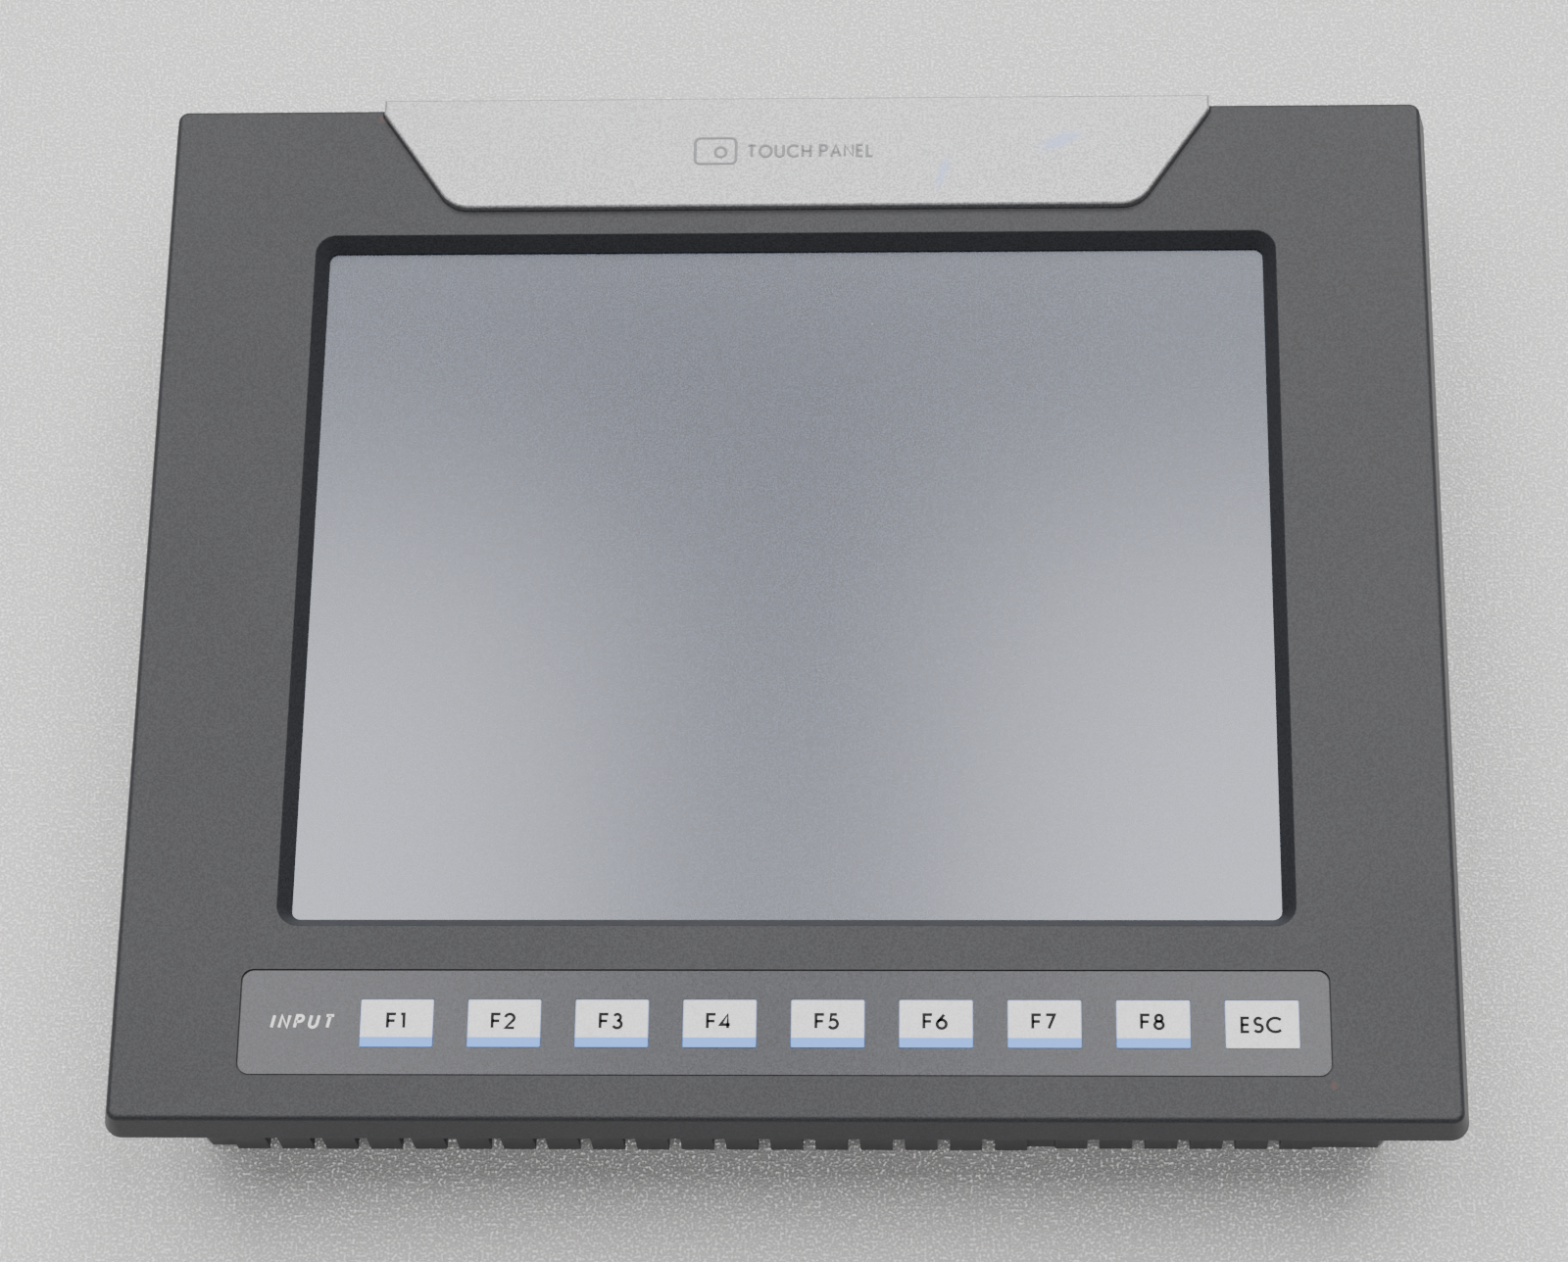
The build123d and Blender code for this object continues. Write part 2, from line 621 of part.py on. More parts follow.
def grille_cuts():
    """Straight slots through the rear wall."""
    y = housing_height / 2 - GRILLE_TOP_MARGIN - GRILLE_LENGTH / 2
    xs = [(i - (GRILLE_SLOTS - 1) / 2) * VENT_PITCH for i in range(GRILLE_SLOTS)]
    levels = (-CUT, HOUSING_WALL + CUT)
    return [centred_slab(x, y, VENT_WIDTH, GRILLE_LENGTH, levels) for x in xs]


def clamp_slots():
    """Slots in the four side walls for the clamps that pull the panel into a cut-out."""
    levels = (bezel_back - CLAMP_SLOT_DROP - CLAMP_SLOT_WIDTH, bezel_back - CLAMP_SLOT_DROP)
    cuts = []
    for sx in (-1, 1):
        for sy in (-1, 1):
            x = sx * housing_width / 2
            y = sy * CLAMP_SLOT_SPREAD_Y / 2
            cuts.append(centred_slab(x, y, 4 * HOUSING_WALL, CLAMP_SLOT_LENGTH, levels))
            x = sx * CLAMP_SLOT_SPREAD_X / 2
            y = sy * housing_height / 2
            cuts.append(centred_slab(x, y, CLAMP_SLOT_LENGTH, 4 * HOUSING_WALL, levels))
    return cuts


def walled_pocket(xs, ys, depth, wall):
    """Solid block around a rear pocket, and the pocket to cut from it."""
    block = slab((xs[0] - wall, xs[1] + wall), (ys[0] - wall, ys[1] + wall), (0, depth + wall))
    return block, slab(xs, ys, (-CUT, depth))


def bay_range():
    """Width and length of the connector bay."""
    xs = (BAY_OFFSET - BAY_WIDTH / 2, BAY_OFFSET + BAY_WIDTH / 2)
    return xs, (bay_bottom, bay_top)


def battery_range():
    """Width and length of the battery pocket, with room for the hinge edge."""
    half = battery_well / 2
    return (BATTERY_X - half, BATTERY_X + half), (BATTERY_Y - half, BATTERY_Y + half + DOOR_MARGIN)


def port_range():
    """Width and length of the module port pocket, with the run of its cover."""
    xs = (PORT_X - PORT_WIDTH / 2, PORT_X + PORT_WIDTH / 2 + COVER_TRAVEL + COVER_GAP)
    return xs, (PORT_Y - PORT_HEIGHT / 2, PORT_Y + PORT_HEIGHT / 2)


def cable_exit():
    """Walled channel from the bay out through the bottom wall, above the vents, and its cut."""
    xs, _ = bay_range()
    xs = (xs[0] + CABLE_EXIT_INSET, xs[1] - CABLE_EXIT_INSET)
    edge = -housing_height / 2
    around = (CABLE_EXIT_LOW - BAY_WALL, BAY_DEPTH + BAY_WALL)
    walls = slab((xs[0] - BAY_WALL, xs[1] + BAY_WALL), (edge + HOUSING_WALL / 2, bay_bottom), around)
    return walls, slab(xs, (edge - CUT, bay_bottom + CUT), (CABLE_EXIT_LOW, BAY_DEPTH))


def connector_holes():
    """Openings in the connector wall of the bay, each a little larger than its part."""
    wall = (bay_top - CUT, bay_top + BAY_WALL + CUT)
    grow = 2 * CONNECTOR_GAP
    sizes = [
        (POWER_X, header_size(POWER_PINS, POWER_PITCH)),
        (FIELDBUS_X, header_size(FIELDBUS_PINS, FIELDBUS_PITCH)),
        (SERIAL_X, (SERIAL_FLANGE[0], SERIAL_FLANGE[1])),
        (ETHERNET_X, (ETHERNET_SIZE[0], ETHERNET_SIZE[2])),
        (USB_X, (USB_SIZE[0], USB_SIZE[2])),
        (CARD_X, (CARD_SIZE[0], CARD_SIZE[2])),
    ]
    cuts = []
    for x, (width, height) in sizes:
        half = (width + grow) / 2
        rise = (height + grow) / 2
        cuts.append(slab((x - half, x + half), wall, (connector_z - rise, connector_z + rise)))
    return cuts


def make_rear_housing():
    """Open box with vents, connector bay, battery pocket and module port."""
    body = centred_slab(0, 0, housing_width, housing_height, (0, bezel_back))
    body = chamfer(body.edges().filter_by(Axis.Z), HOUSING_CHAMFER)
    body = fillet(body.faces().sort_by(Axis.Z)[0].edges(), HOUSING_EDGE_RADIUS)
    body = joined([body] + rib_pads(-1) + rib_pads(1))
    body -= centred_slab(0, 0, inner_width, inner_height, (HOUSING_WALL, bezel_back + CUT))
    pockets = [
        walled_pocket(*bay_range(), BAY_DEPTH, BAY_WALL),
        cable_exit(),
        walled_pocket(*battery_range(), battery_ceiling, BATTERY_WALL),
        walled_pocket(*port_range(), PORT_DEPTH, BATTERY_WALL),
    ]
    for walls, _ in pockets:
        body += walls
    for x, y in housing_screw_places:
        body += post(x, y, screw_column, (HOUSING_EDGE_RADIUS, screw_floor))
    earth_boss = (HOUSING_EDGE_RADIUS, INSERT_LENGTH + HOUSING_WALL)
    body += post(EARTH_X, EARTH_Y, INSERT_RADIUS + HOUSING_WALL, earth_boss)
    for _, cut in pockets:
        body -= cut
    for cut in vent_cuts(-1) + vent_cuts(1) + grille_cuts() + clamp_slots() + connector_holes():
        body -= cut
    well = SCREW_HEAD_RADIUS + HOLE_CLEARANCE
    for x, y in housing_screw_places:
        body -= post(x, y, well, (-CUT, screw_seat))
        body -= post(x, y, SCREW_RADIUS + HOLE_CLEARANCE, (0, screw_floor + CUT))
    body -= post(EARTH_X, EARTH_Y, INSERT_RADIUS, (-CUT, INSERT_LENGTH))
    label = (LABEL_WIDTH + 2 * COVER_GAP, LABEL_HEIGHT + 2 * COVER_GAP)
    body -= centred_slab(LABEL_X, LABEL_Y, *label, (-CUT, LABEL_SINK + LABEL_THICKNESS))
    return body - joined(port_rails()) - joined(hinge_sockets())


def port_rails():
    """Grooves along both long sides of the module port for the sliding cover."""
    xs, ys = port_range()
    levels = (COVER_SINK - COVER_GAP / 2, cover_back + COVER_GAP / 2)
    low = slab(xs, (ys[0] - RAIL_WIDTH, ys[0] + CUT), levels)
    high = slab(xs, (ys[1] - CUT, ys[1] + RAIL_WIDTH), levels)
    return [low, high]


def hinge_axis():
    """Place of the battery door hinge, along X."""
    _, ys = battery_range()
    return ys[1] - COVER_GAP - COVER_THICKNESS / 2, COVER_SINK + COVER_THICKNESS / 2


def hinge_sockets():
    """Blind holes for the two hinge pins of the battery door."""
    xs, _ = battery_range()
    y, z = hinge_axis()
    radius = HINGE_PIN_RADIUS + PIN_CLEARANCE
    left = bar_x(y, z, radius, (xs[0] - HINGE_PIN_LENGTH, xs[0] + CUT))
    right = bar_x(y, z, radius, (xs[1] - CUT, xs[1] + HINGE_PIN_LENGTH))
    return [left, right]


def make_battery_door():
    """Flush door with a round hinge edge, two pins and a finger notch."""
    xs, ys = battery_range()
    y_axis, z_axis = hinge_axis()
    across = (xs[0] + COVER_GAP, xs[1] - COVER_GAP)
    leaf = slab(across, (ys[0] + COVER_GAP, y_axis), (COVER_SINK, cover_back))
    edge = bar_x(y_axis, z_axis, COVER_THICKNESS / 2, across)
    ends = (across[0] - HINGE_PIN_LENGTH, across[1] + HINGE_PIN_LENGTH)
    pins = bar_x(y_axis, z_axis, HINGE_PIN_RADIUS, ends)
    notch_y = ys[0] + COVER_GAP + NOTCH_LENGTH / 2
    notch = centred_slab(BATTERY_X, notch_y, NOTCH_WIDTH, NOTCH_LENGTH, (-CUT, z_axis))
    return leaf + edge + pins - notch


def make_battery_holder():
    """Cradle on the pocket ceiling that grips the coin cell."""
    side = battery_well - 2 * COVER_GAP
    levels = (cover_back + COVER_GAP, battery_ceiling)
    cradle = centred_slab(BATTERY_X, BATTERY_Y, side, side, levels)
    cell = (levels[0] - CUT, battery_ceiling - BATTERY_WALL)
    return cradle - post(BATTERY_X, BATTERY_Y, BATTERY_RADIUS + HOLE_CLEARANCE, cell)


def make_battery_cell():
    """Coin cell."""
    top = battery_ceiling - BATTERY_WALL
    cell = post(BATTERY_X, BATTERY_Y, BATTERY_RADIUS, (top - BATTERY_THICKNESS, top))
    return fillet(cell.faces().sort_by(Axis.Z)[0].edges(), BATTERY_EDGE_RADIUS)


def make_module_cover():
    """Cover plate with side tongues that slides along the port grooves."""
    _, ys = port_range()
    reach = RAIL_WIDTH - COVER_GAP / 2
    xs = (PORT_X - PORT_WIDTH / 2 + COVER_GAP, PORT_X + PORT_WIDTH / 2)
    plate = slab(xs, (ys[0] - reach, ys[1] + reach), (COVER_SINK, cover_back))
    across = (PORT_Y - PORT_HEIGHT / 4, PORT_Y + PORT_HEIGHT / 4)
    levels = (-CUT, COVER_SINK + COVER_THICKNESS / 3)
    for i in range(GRIP_COUNT):
        left = xs[1] - 2 * (i + 2) * GRIP_WIDTH
        plate -= slab((left, left + GRIP_WIDTH), across, levels)
    return plate


def make_module_header():
    """Shrouded socket on the ceiling of the module port."""
    width, height = MODULE_HEADER_SIZE
    low = cover_back + COVER_GAP
    body = centred_slab(PORT_X, PORT_Y, width, height, (low, PORT_DEPTH))
    slot = (width - 2 * MODULE_HEADER_WALL, height - 2 * MODULE_HEADER_WALL)
    return body - centred_slab(PORT_X, PORT_Y, *slot, (low - CUT, PORT_DEPTH - HEADER_WALL))


def make_rating_label():
    """Blank rating label in a shallow pocket on the rear face."""
    levels = (LABEL_SINK, LABEL_SINK + LABEL_THICKNESS)
    return rounded_slab(LABEL_X, LABEL_Y, LABEL_WIDTH, LABEL_HEIGHT, LABEL_CORNER_RADIUS, levels)


def make_earth_insert():
    """Brass insert with a blind threaded hole for the earth lead."""
    body = post(EARTH_X, EARTH_Y, INSERT_RADIUS, (INSERT_SINK, INSERT_LENGTH))
    return body - post(EARTH_X, EARTH_Y, INSERT_BORE_RADIUS, (-CUT, INSERT_BORE_DEPTH))


# --------------------------------------------------------------- boards and cables
def make_main_board():
    """Main circuit board, level with the connector wall."""
    board = slab((board_left, board_right), (board_bottom, board_top), (board_back, board_front))
    through = (board_back - CUT, board_front + CUT)
    for x, y in standoff_places:
        board -= post(x, y, SCREW_RADIUS + HOLE_CLEARANCE, through)
    return board


def make_board_standoffs():
    """Hexagonal pillars riveted into the chassis, threaded from below."""
    pillars = []
    for x, y in standoff_places:
        outline = Pos(x, y, board_front) * RegularPolygon(STANDOFF_RADIUS, 6)
        pillar = extrude(outline, chassis_back - board_front, dir=(0, 0, 1))
        pillar += post(x, y, SCREW_RADIUS, (chassis_back, module_back - THREAD_CLEARANCE))
        bore = (board_front - CUT, board_back + SCREW_LENGTH + HOLE_CLEARANCE)
        pillars.append(pillar - post(x, y, SCREW_RADIUS + THREAD_CLEARANCE, bore))
    return pillars


def make_processor_chip():
    """Processor on the rear side of the board."""
    width, height, rise = PROCESSOR_SIZE
    return centred_slab(*chip_place(), width, height, (board_back - rise, board_back))


def chip_place():
    """Centre of the processor and its heat sink."""
    width, height, _ = HEAT_SINK_SIZE
    return board_right - width / 2 - CHIP_INSET_X, board_top - height / 2 - CHIP_INSET_Y


def make_heat_sink():
    """Finned block on the processor."""
    x, y = chip_place()
    width, height, rise = HEAT_SINK_SIZE
    top = board_back - PROCESSOR_SIZE[2]
    sink = centred_slab(x, y, width, height, (top - rise, top))
    gap = (width - FIN_COUNT * FIN_WIDTH) / (FIN_COUNT - 1)
    for i in range(FIN_COUNT - 1):
        left = x - width / 2 + FIN_WIDTH + i * (FIN_WIDTH + gap)
        sink -= slab((left, left + gap), (y - height, y + height), (top - rise - CUT, top - FIN_BASE))
    return sink


def make_capacitors():
    """Row of supply capacitors beside the power connector."""
    y = board_bottom + HEADER_LENGTH + 4 * CAPACITOR_RADIUS
    xs = [POWER_X + i * CAPACITOR_PITCH for i in range(3)]
    return [post(x, y, CAPACITOR_RADIUS, (board_back - CAPACITOR_HEIGHT, board_back)) for x in xs]


def make_backlight_driver():
    """Small driver board under the chassis."""
    width, height = DRIVER_SIZE
    y = board_top - DRIVER_INSET - height / 2
    top = chassis_back - DRIVER_DROP
    board = centred_slab(0, y, width, height, (top - BOARD_THICKNESS, top))
    for side in (-1, 1):
        foot_x = side * (width / 2 - 2 * DRIVER_FOOT_RADIUS)
        board += post(foot_x, y, DRIVER_FOOT_RADIUS, (top, chassis_back))
    return board


def make_keypad_ribbon():
    """Flat cable from the key board, behind the display, to the main board."""
    xs = (KEY_ROW_OFFSET - CABLE_WIDTH / 2, KEY_ROW_OFFSET + CABLE_WIDTH / 2)
    near = key_row_y + key_board_height / 2
    far = board_bottom + RIBBON_LAP
    low = chassis_back - RIBBON_DROP
    runs = [
        slab(xs, (near - RIBBON_LAP, near), (key_board_back - CABLE_THICKNESS, key_board_back)),
        slab(xs, (near - CABLE_THICKNESS, near), (low, key_board_back - CABLE_THICKNESS)),
        slab(xs, (near - CABLE_THICKNESS, far), (low - CABLE_THICKNESS, low)),
        slab(xs, (far - CABLE_THICKNESS, far), (board_front, low - CABLE_THICKNESS)),
    ]
    return joined(runs)


def make_display_cable():
    """Flat cable from the chassis over the edge of the main board."""
    left = board_left + DISPLAY_CABLE_INSET
    xs = (left, left + CABLE_WIDTH)
    far = board_top + CABLE_BEND
    runs = [
        slab(xs, (board_top, far), (chassis_back - CABLE_THICKNESS, chassis_back)),
        slab(xs, (far - CABLE_THICKNESS, far), (board_front, chassis_back)),
        slab(xs, (board_top - CABLE_BEND, far), (board_front, board_front + CABLE_THICKNESS)),
    ]
    return joined(runs)


# ---------------------------------------------------------------------- connectors
def header_size(pins, pitch):
    """Outer width and height of a pluggable terminal header."""
    inside = pins * pitch + PLUG_END + 2 * PLUG_GAP
    return inside + 2 * HEADER_WALL, TERMINAL_HEIGHT + 2 * (HEADER_WALL + PLUG_GAP)


def pin_xs(x, pins, pitch):
    """Centres of the contacts across a connector."""
    return [x + (i - (pins - 1) / 2) * pitch for i in range(pins)]


def behind_wall(x, width, height, near, far, rise=0.0):
    """Box on a connector's axis, between two distances behind the wall's face."""
    z = connector_z + rise
    ys = (bay_top + near, bay_top + far)
    return slab((x - width / 2, x + width / 2), ys, (z - height / 2, z + height / 2))


def rod_behind_wall(x, radius, near, far, rise=0.0):
    """Rod along a connector's axis, between two distances behind the wall's face."""
    return bar_y(x, connector_z + rise, radius, (bay_top + near, bay_top + far))


def make_header(x, pins, pitch):
    """Fixed header with square pins, its mouth facing down into the bay."""
    width, height = header_size(pins, pitch)
    mouth_end = PLUG_INSERT + PLUG_GAP
    body = behind_wall(x, width, height, 0, HEADER_LENGTH)
    body -= behind_wall(x, width - 2 * HEADER_WALL, height - 2 * HEADER_WALL, -CUT, mouth_end)
    for px in pin_xs(x, pins, pitch):
        body += behind_wall(px, PIN_SIDE, PIN_SIDE, mouth_end - PIN_LENGTH, mouth_end + CUT)
    return body


def make_plug(x, pins, pitch):
    """Pluggable terminal block with wire entries, clamp wells and pin sockets."""
    width = pins * pitch + PLUG_END
    body = behind_wall(x, width, TERMINAL_HEIGHT, 0, PLUG_INSERT)
    body += behind_wall(x, width, TERMINAL_HEIGHT + PLUG_STEP, -PLUG_STICKOUT, 0)
    socket = PIN_SIDE + 2 * HOLE_CLEARANCE
    for px in pin_xs(x, pins, pitch):
        body -= behind_wall(px, socket, socket, PLUG_INSERT - PIN_LENGTH - PLUG_GAP, PLUG_INSERT + CUT)
        body -= behind_wall(px, WIRE_ENTRY, WIRE_ENTRY, -PLUG_STICKOUT - CUT, -WIRE_STOP)
        body -= post(px, clamp_y(), CLAMP_WELL_RADIUS, (plug_low() - CUT, clamp_top()))
    return body


def plug_low():
    """Lowest level of a plug."""
    return connector_z - (TERMINAL_HEIGHT + PLUG_STEP) / 2


def clamp_y():
    """Row of clamp screws across a plug."""
    return bay_top - PLUG_STICKOUT / 2


def clamp_top():
    """Level at which a clamp screw meets its wire entry."""
    return connector_z - WIRE_ENTRY / 2 - CLAMP_WEB


def make_plug_screws(x, pins, pitch):
    """Slotted clamp screws in the wells of a plug."""
    low = plug_low() + CLAMP_SINK
    screws = []
    for px in pin_xs(x, pins, pitch):
        screw = post(px, clamp_y(), CLAMP_WELL_RADIUS - HOLE_CLEARANCE, (low, clamp_top()))
        slot = (2 * CLAMP_WELL_RADIUS, CLAMP_SLOT)
        screws.append(screw - centred_slab(px, clamp_y(), *slot, (low - CUT, low + CLAMP_SLOT)))
    return screws


def d_prism(width, height, length):
    """D-shaped prism on the serial connector's axis, standing out from the wall's face."""
    lean = height * math.tan(math.radians(D_SLOPE))
    left = [(-width / 2, height / 2), (lean - width / 2, -height / 2)]
    right = [(-x, y) for x, y in reversed(left)]
    face = make_face(Polyline(*left, *right, close=True))
    face = fillet(face.vertices(), D_CORNER_RADIUS)
    placed = Pos(SERIAL_X, bay_top, connector_z) * Rot(90, 0, 0) * face
    return extrude(placed, length, dir=(0, -1, 0))


def jack_xs():
    """Centres of the two jack nuts beside the serial connector."""
    return (SERIAL_X - JACK_SPACING / 2, SERIAL_X + JACK_SPACING / 2)


def make_serial_port():
    """Nine-pin serial connector: flange, D-shaped shell, body and pins."""
    width, height, sheet = SERIAL_FLANGE
    shell_width, shell_height, shell_length = SERIAL_SHELL
    body = behind_wall(SERIAL_X, width, height, 0, sheet)
    body += behind_wall(SERIAL_X, SERIAL_BODY[0], SERIAL_BODY[1], 0, SERIAL_BODY[2])
    inner = (shell_width - 2 * SHELL_THICKNESS, shell_height - 2 * SHELL_THICKNESS)
    body += d_prism(shell_width, shell_height, shell_length) - d_prism(*inner, shell_length + CUT)
    for row, count in ((SERIAL_ROWS / 2, 5), (-SERIAL_ROWS / 2, 4)):
        for px in pin_xs(SERIAL_X, count, SERIAL_PITCH):
            body += rod_behind_wall(px, SERIAL_PIN_RADIUS, CUT - shell_length, CUT, row)
    for px in jack_xs():
        body -= rod_behind_wall(px, SCREW_RADIUS + THREAD_CLEARANCE, -CUT, sheet + CUT)
    return body


def make_serial_jack_nuts():
    """Two hexagonal threaded nuts beside the serial connector."""
    nuts = []
    for px in jack_xs():
        outline = Pos(px, bay_top, connector_z) * Rot(90, 0, 0) * RegularPolygon(JACK_RADIUS, 6)
        nut = extrude(outline, JACK_LENGTH, dir=(0, -1, 0))
        nut += rod_behind_wall(px, SCREW_RADIUS, -THREAD_CLEARANCE, BAY_WALL)
        nuts.append(nut - rod_behind_wall(px, JACK_BORE_RADIUS, -JACK_LENGTH - CUT, -JACK_FLOOR))
    return nuts


def boxed_socket(x, size, mouth):
    """Box connector behind the wall with a rectangular mouth facing the bay."""
    body = behind_wall(x, size[0], size[2], 0, size[1])
    return body - behind_wall(x, mouth[0], mouth[2], -CUT, mouth[1])


def make_ethernet_jack():
    """Eight-way jack with a latch notch below its mouth and its row of contacts."""
    width, depth, height = ETHERNET_MOUTH
    body = boxed_socket(ETHERNET_X, ETHERNET_SIZE, ETHERNET_MOUTH)
    body -= behind_wall(ETHERNET_X, LATCH_WIDTH, LATCH_HEIGHT, -CUT, depth, -height / 2)
    reach = (depth / 3, depth + CUT)
    rise = (height - CONTACT_RISE) / 2
    for px in pin_xs(ETHERNET_X, CONTACT_COUNT, CONTACT_PITCH):
        body += behind_wall(px, CONTACT_PITCH / 2, CONTACT_RISE, *reach, rise)
    return body


def make_usb_port():
    """Host port: sheet shell around a contact tongue."""
    width, length, height = USB_SIZE
    mouth = (width - 2 * USB_SHEET, length - 2 * USB_SHEET, height - 2 * USB_SHEET)
    body = boxed_socket(USB_X, USB_SIZE, mouth)
    return body + behind_wall(USB_X, *USB_TONGUE, CUT, length, USB_TONGUE[1] / 2)


def make_parts():
    """Every node of the panel with its shape or its list of separate solids."""
    blank = bezel_blank()
    parts = {
        "front_bezel": make_front_bezel(blank),
        "trim_plate": make_trim_plate(blank),
        "keypad_overlay": make_keypad_overlay(),
        "keypad_board": make_keypad_board(),
        "snap_domes": make_snap_domes(),
        "keypad_screws": make_keypad_screws(),
        "keypad_ribbon": make_keypad_ribbon(),
        "touch_gasket": foam_ring(glass_front, lip_back),
        "touch_glass": make_touch_glass(),
        "display_foam": foam_ring(module_front, glass_back),
        "lcd_frame": make_lcd_frame(),
        "lcd_glass": make_lcd_glass(),
        "backlight_unit": make_backlight_unit(),
        "backlight_driver": make_backlight_driver(),
        "display_cable": make_display_cable(),
        "display_chassis": make_display_chassis(),
        "chassis_screws": [screw_up(x, y, chassis_back) for x, y in chassis_screw_places],
        "panel_gasket": make_panel_gasket(),
        "rear_housing": make_rear_housing(),
        "housing_screws": [screw_up(x, y, screw_seat) for x, y in housing_screw_places],
        "main_board": make_main_board(),
        "board_standoffs": make_board_standoffs(),
        "board_screws": [screw_up(x, y, board_back) for x, y in standoff_places],
        "processor_chip": make_processor_chip(),
        "heat_sink": make_heat_sink(),
        "capacitors": make_capacitors(),
        "power_header": make_header(POWER_X, POWER_PINS, POWER_PITCH),
        "power_plug": make_plug(POWER_X, POWER_PINS, POWER_PITCH),
        "power_plug_screws": make_plug_screws(POWER_X, POWER_PINS, POWER_PITCH),
        "fieldbus_header": make_header(FIELDBUS_X, FIELDBUS_PINS, FIELDBUS_PITCH),
        "fieldbus_plug": make_plug(FIELDBUS_X, FIELDBUS_PINS, FIELDBUS_PITCH),
        "fieldbus_plug_screws": make_plug_screws(FIELDBUS_X, FIELDBUS_PINS, FIELDBUS_PITCH),
        "serial_port": make_serial_port(),
        "serial_jack_nuts": make_serial_jack_nuts(),
        "ethernet_jack": make_ethernet_jack(),
        "usb_port": make_usb_port(),
        "card_socket": boxed_socket(CARD_X, CARD_SIZE, CARD_MOUTH),
        "earth_insert": make_earth_insert(),
        "battery_holder": make_battery_holder(),
        "battery_cell": make_battery_cell(),
        "battery_door": make_battery_door(),
        "module_header": make_module_header(),
        "module_cover": make_module_cover(),
        "rating_label": make_rating_label(),
    }
    for name, x in zip(key_names, key_xs):
        parts[name] = make_key(x)
    return parts


def main():
    """Write one STEP file for each node."""
    os.makedirs("parts", exist_ok=True)
    for name, shape in make_parts().items():
        whole = Compound(children=shape) if isinstance(shape, list) else shape
        export_step(whole, f"parts/{name}.step")


main()
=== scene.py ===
"""Looks of an operator touch panel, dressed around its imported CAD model.

Everything is in metres, in the frame of the CAD model: +X across the display, +Y up the panel, +Z out of
the display, and the flat rear face on z = 0.
"""

import logging
import math
from dataclasses import dataclass, field
from enum import Enum
from typing import Any, Union

import bpy
import numpy as np
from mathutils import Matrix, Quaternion, Vector


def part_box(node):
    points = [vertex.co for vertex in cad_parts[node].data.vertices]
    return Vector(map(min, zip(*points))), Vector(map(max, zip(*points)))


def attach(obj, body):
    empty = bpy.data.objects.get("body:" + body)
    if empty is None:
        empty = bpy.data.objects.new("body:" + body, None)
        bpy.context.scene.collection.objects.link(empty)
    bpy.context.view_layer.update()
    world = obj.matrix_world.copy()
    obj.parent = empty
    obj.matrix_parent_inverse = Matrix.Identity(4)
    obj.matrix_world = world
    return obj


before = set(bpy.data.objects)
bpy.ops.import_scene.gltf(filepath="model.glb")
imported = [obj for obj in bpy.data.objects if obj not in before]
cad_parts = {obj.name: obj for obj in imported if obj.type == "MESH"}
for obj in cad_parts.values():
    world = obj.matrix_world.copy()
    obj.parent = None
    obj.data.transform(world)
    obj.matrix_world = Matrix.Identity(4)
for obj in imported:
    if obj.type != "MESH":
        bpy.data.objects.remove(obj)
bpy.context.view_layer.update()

LOG = logging.getLogger("touch_panel")
MM = 0.001
PANEL = "panel"
FACE_TOLERANCE = 0.01 * MM
MITRE_LIMIT = 0.45
Colour = tuple[float, float, float]
Point = tuple[float, float, float]
Flat = tuple[float, float]
Number = Union["Value", float]


class Stop(Enum):
    """How a path of a letter ends."""

    OPEN = "open"
    CLOSED = "closed"


# ------------------------------------------------------------------------------------- shader maths
class Value:
    """A node's output, so that shader maths is written as an expression."""

    def __init__(self, graph: "Graph", socket: bpy.types.NodeSocket) -> None:
        """Wraps a socket.

        Args:
            graph: The graph that the socket belongs to.
            socket: The output socket.
        """
        self.graph = graph
        self.socket = socket

    def __add__(self, other: Number) -> "Value":
        """Sum."""
        return self.graph.math("ADD", self, other)

    def __radd__(self, other: Number) -> "Value":
        """Sum with a number on the left."""
        return self.graph.math("ADD", other, self)

    def __sub__(self, other: Number) -> "Value":
        """Difference."""
        return self.graph.math("SUBTRACT", self, other)

    def __rsub__(self, other: Number) -> "Value":
        """Difference with a number on the left."""
        return self.graph.math("SUBTRACT", other, self)

    def __mul__(self, other: Number) -> "Value":
        """Product."""
        return self.graph.math("MULTIPLY", self, other)

    def __rmul__(self, other: Number) -> "Value":
        """Product with a number on the left."""
        return self.graph.math("MULTIPLY", other, self)

    def __gt__(self, other: Number) -> "Value":
        """1 where this is the larger, otherwise 0."""
        return self.graph.math("GREATER_THAN", self, other)

    def __lt__(self, other: Number) -> "Value":
        """1 where this is the smaller, otherwise 0."""
        return self.graph.math("LESS_THAN", self, other)

    def abs(self) -> "Value":
        """Size without sign."""
        return self.graph.math("ABSOLUTE", self, 0.0)

    def wave(self) -> "Value":
        """Sine of this, as an angle in radians."""
        return self.graph.math("SINE", self, 0.0)


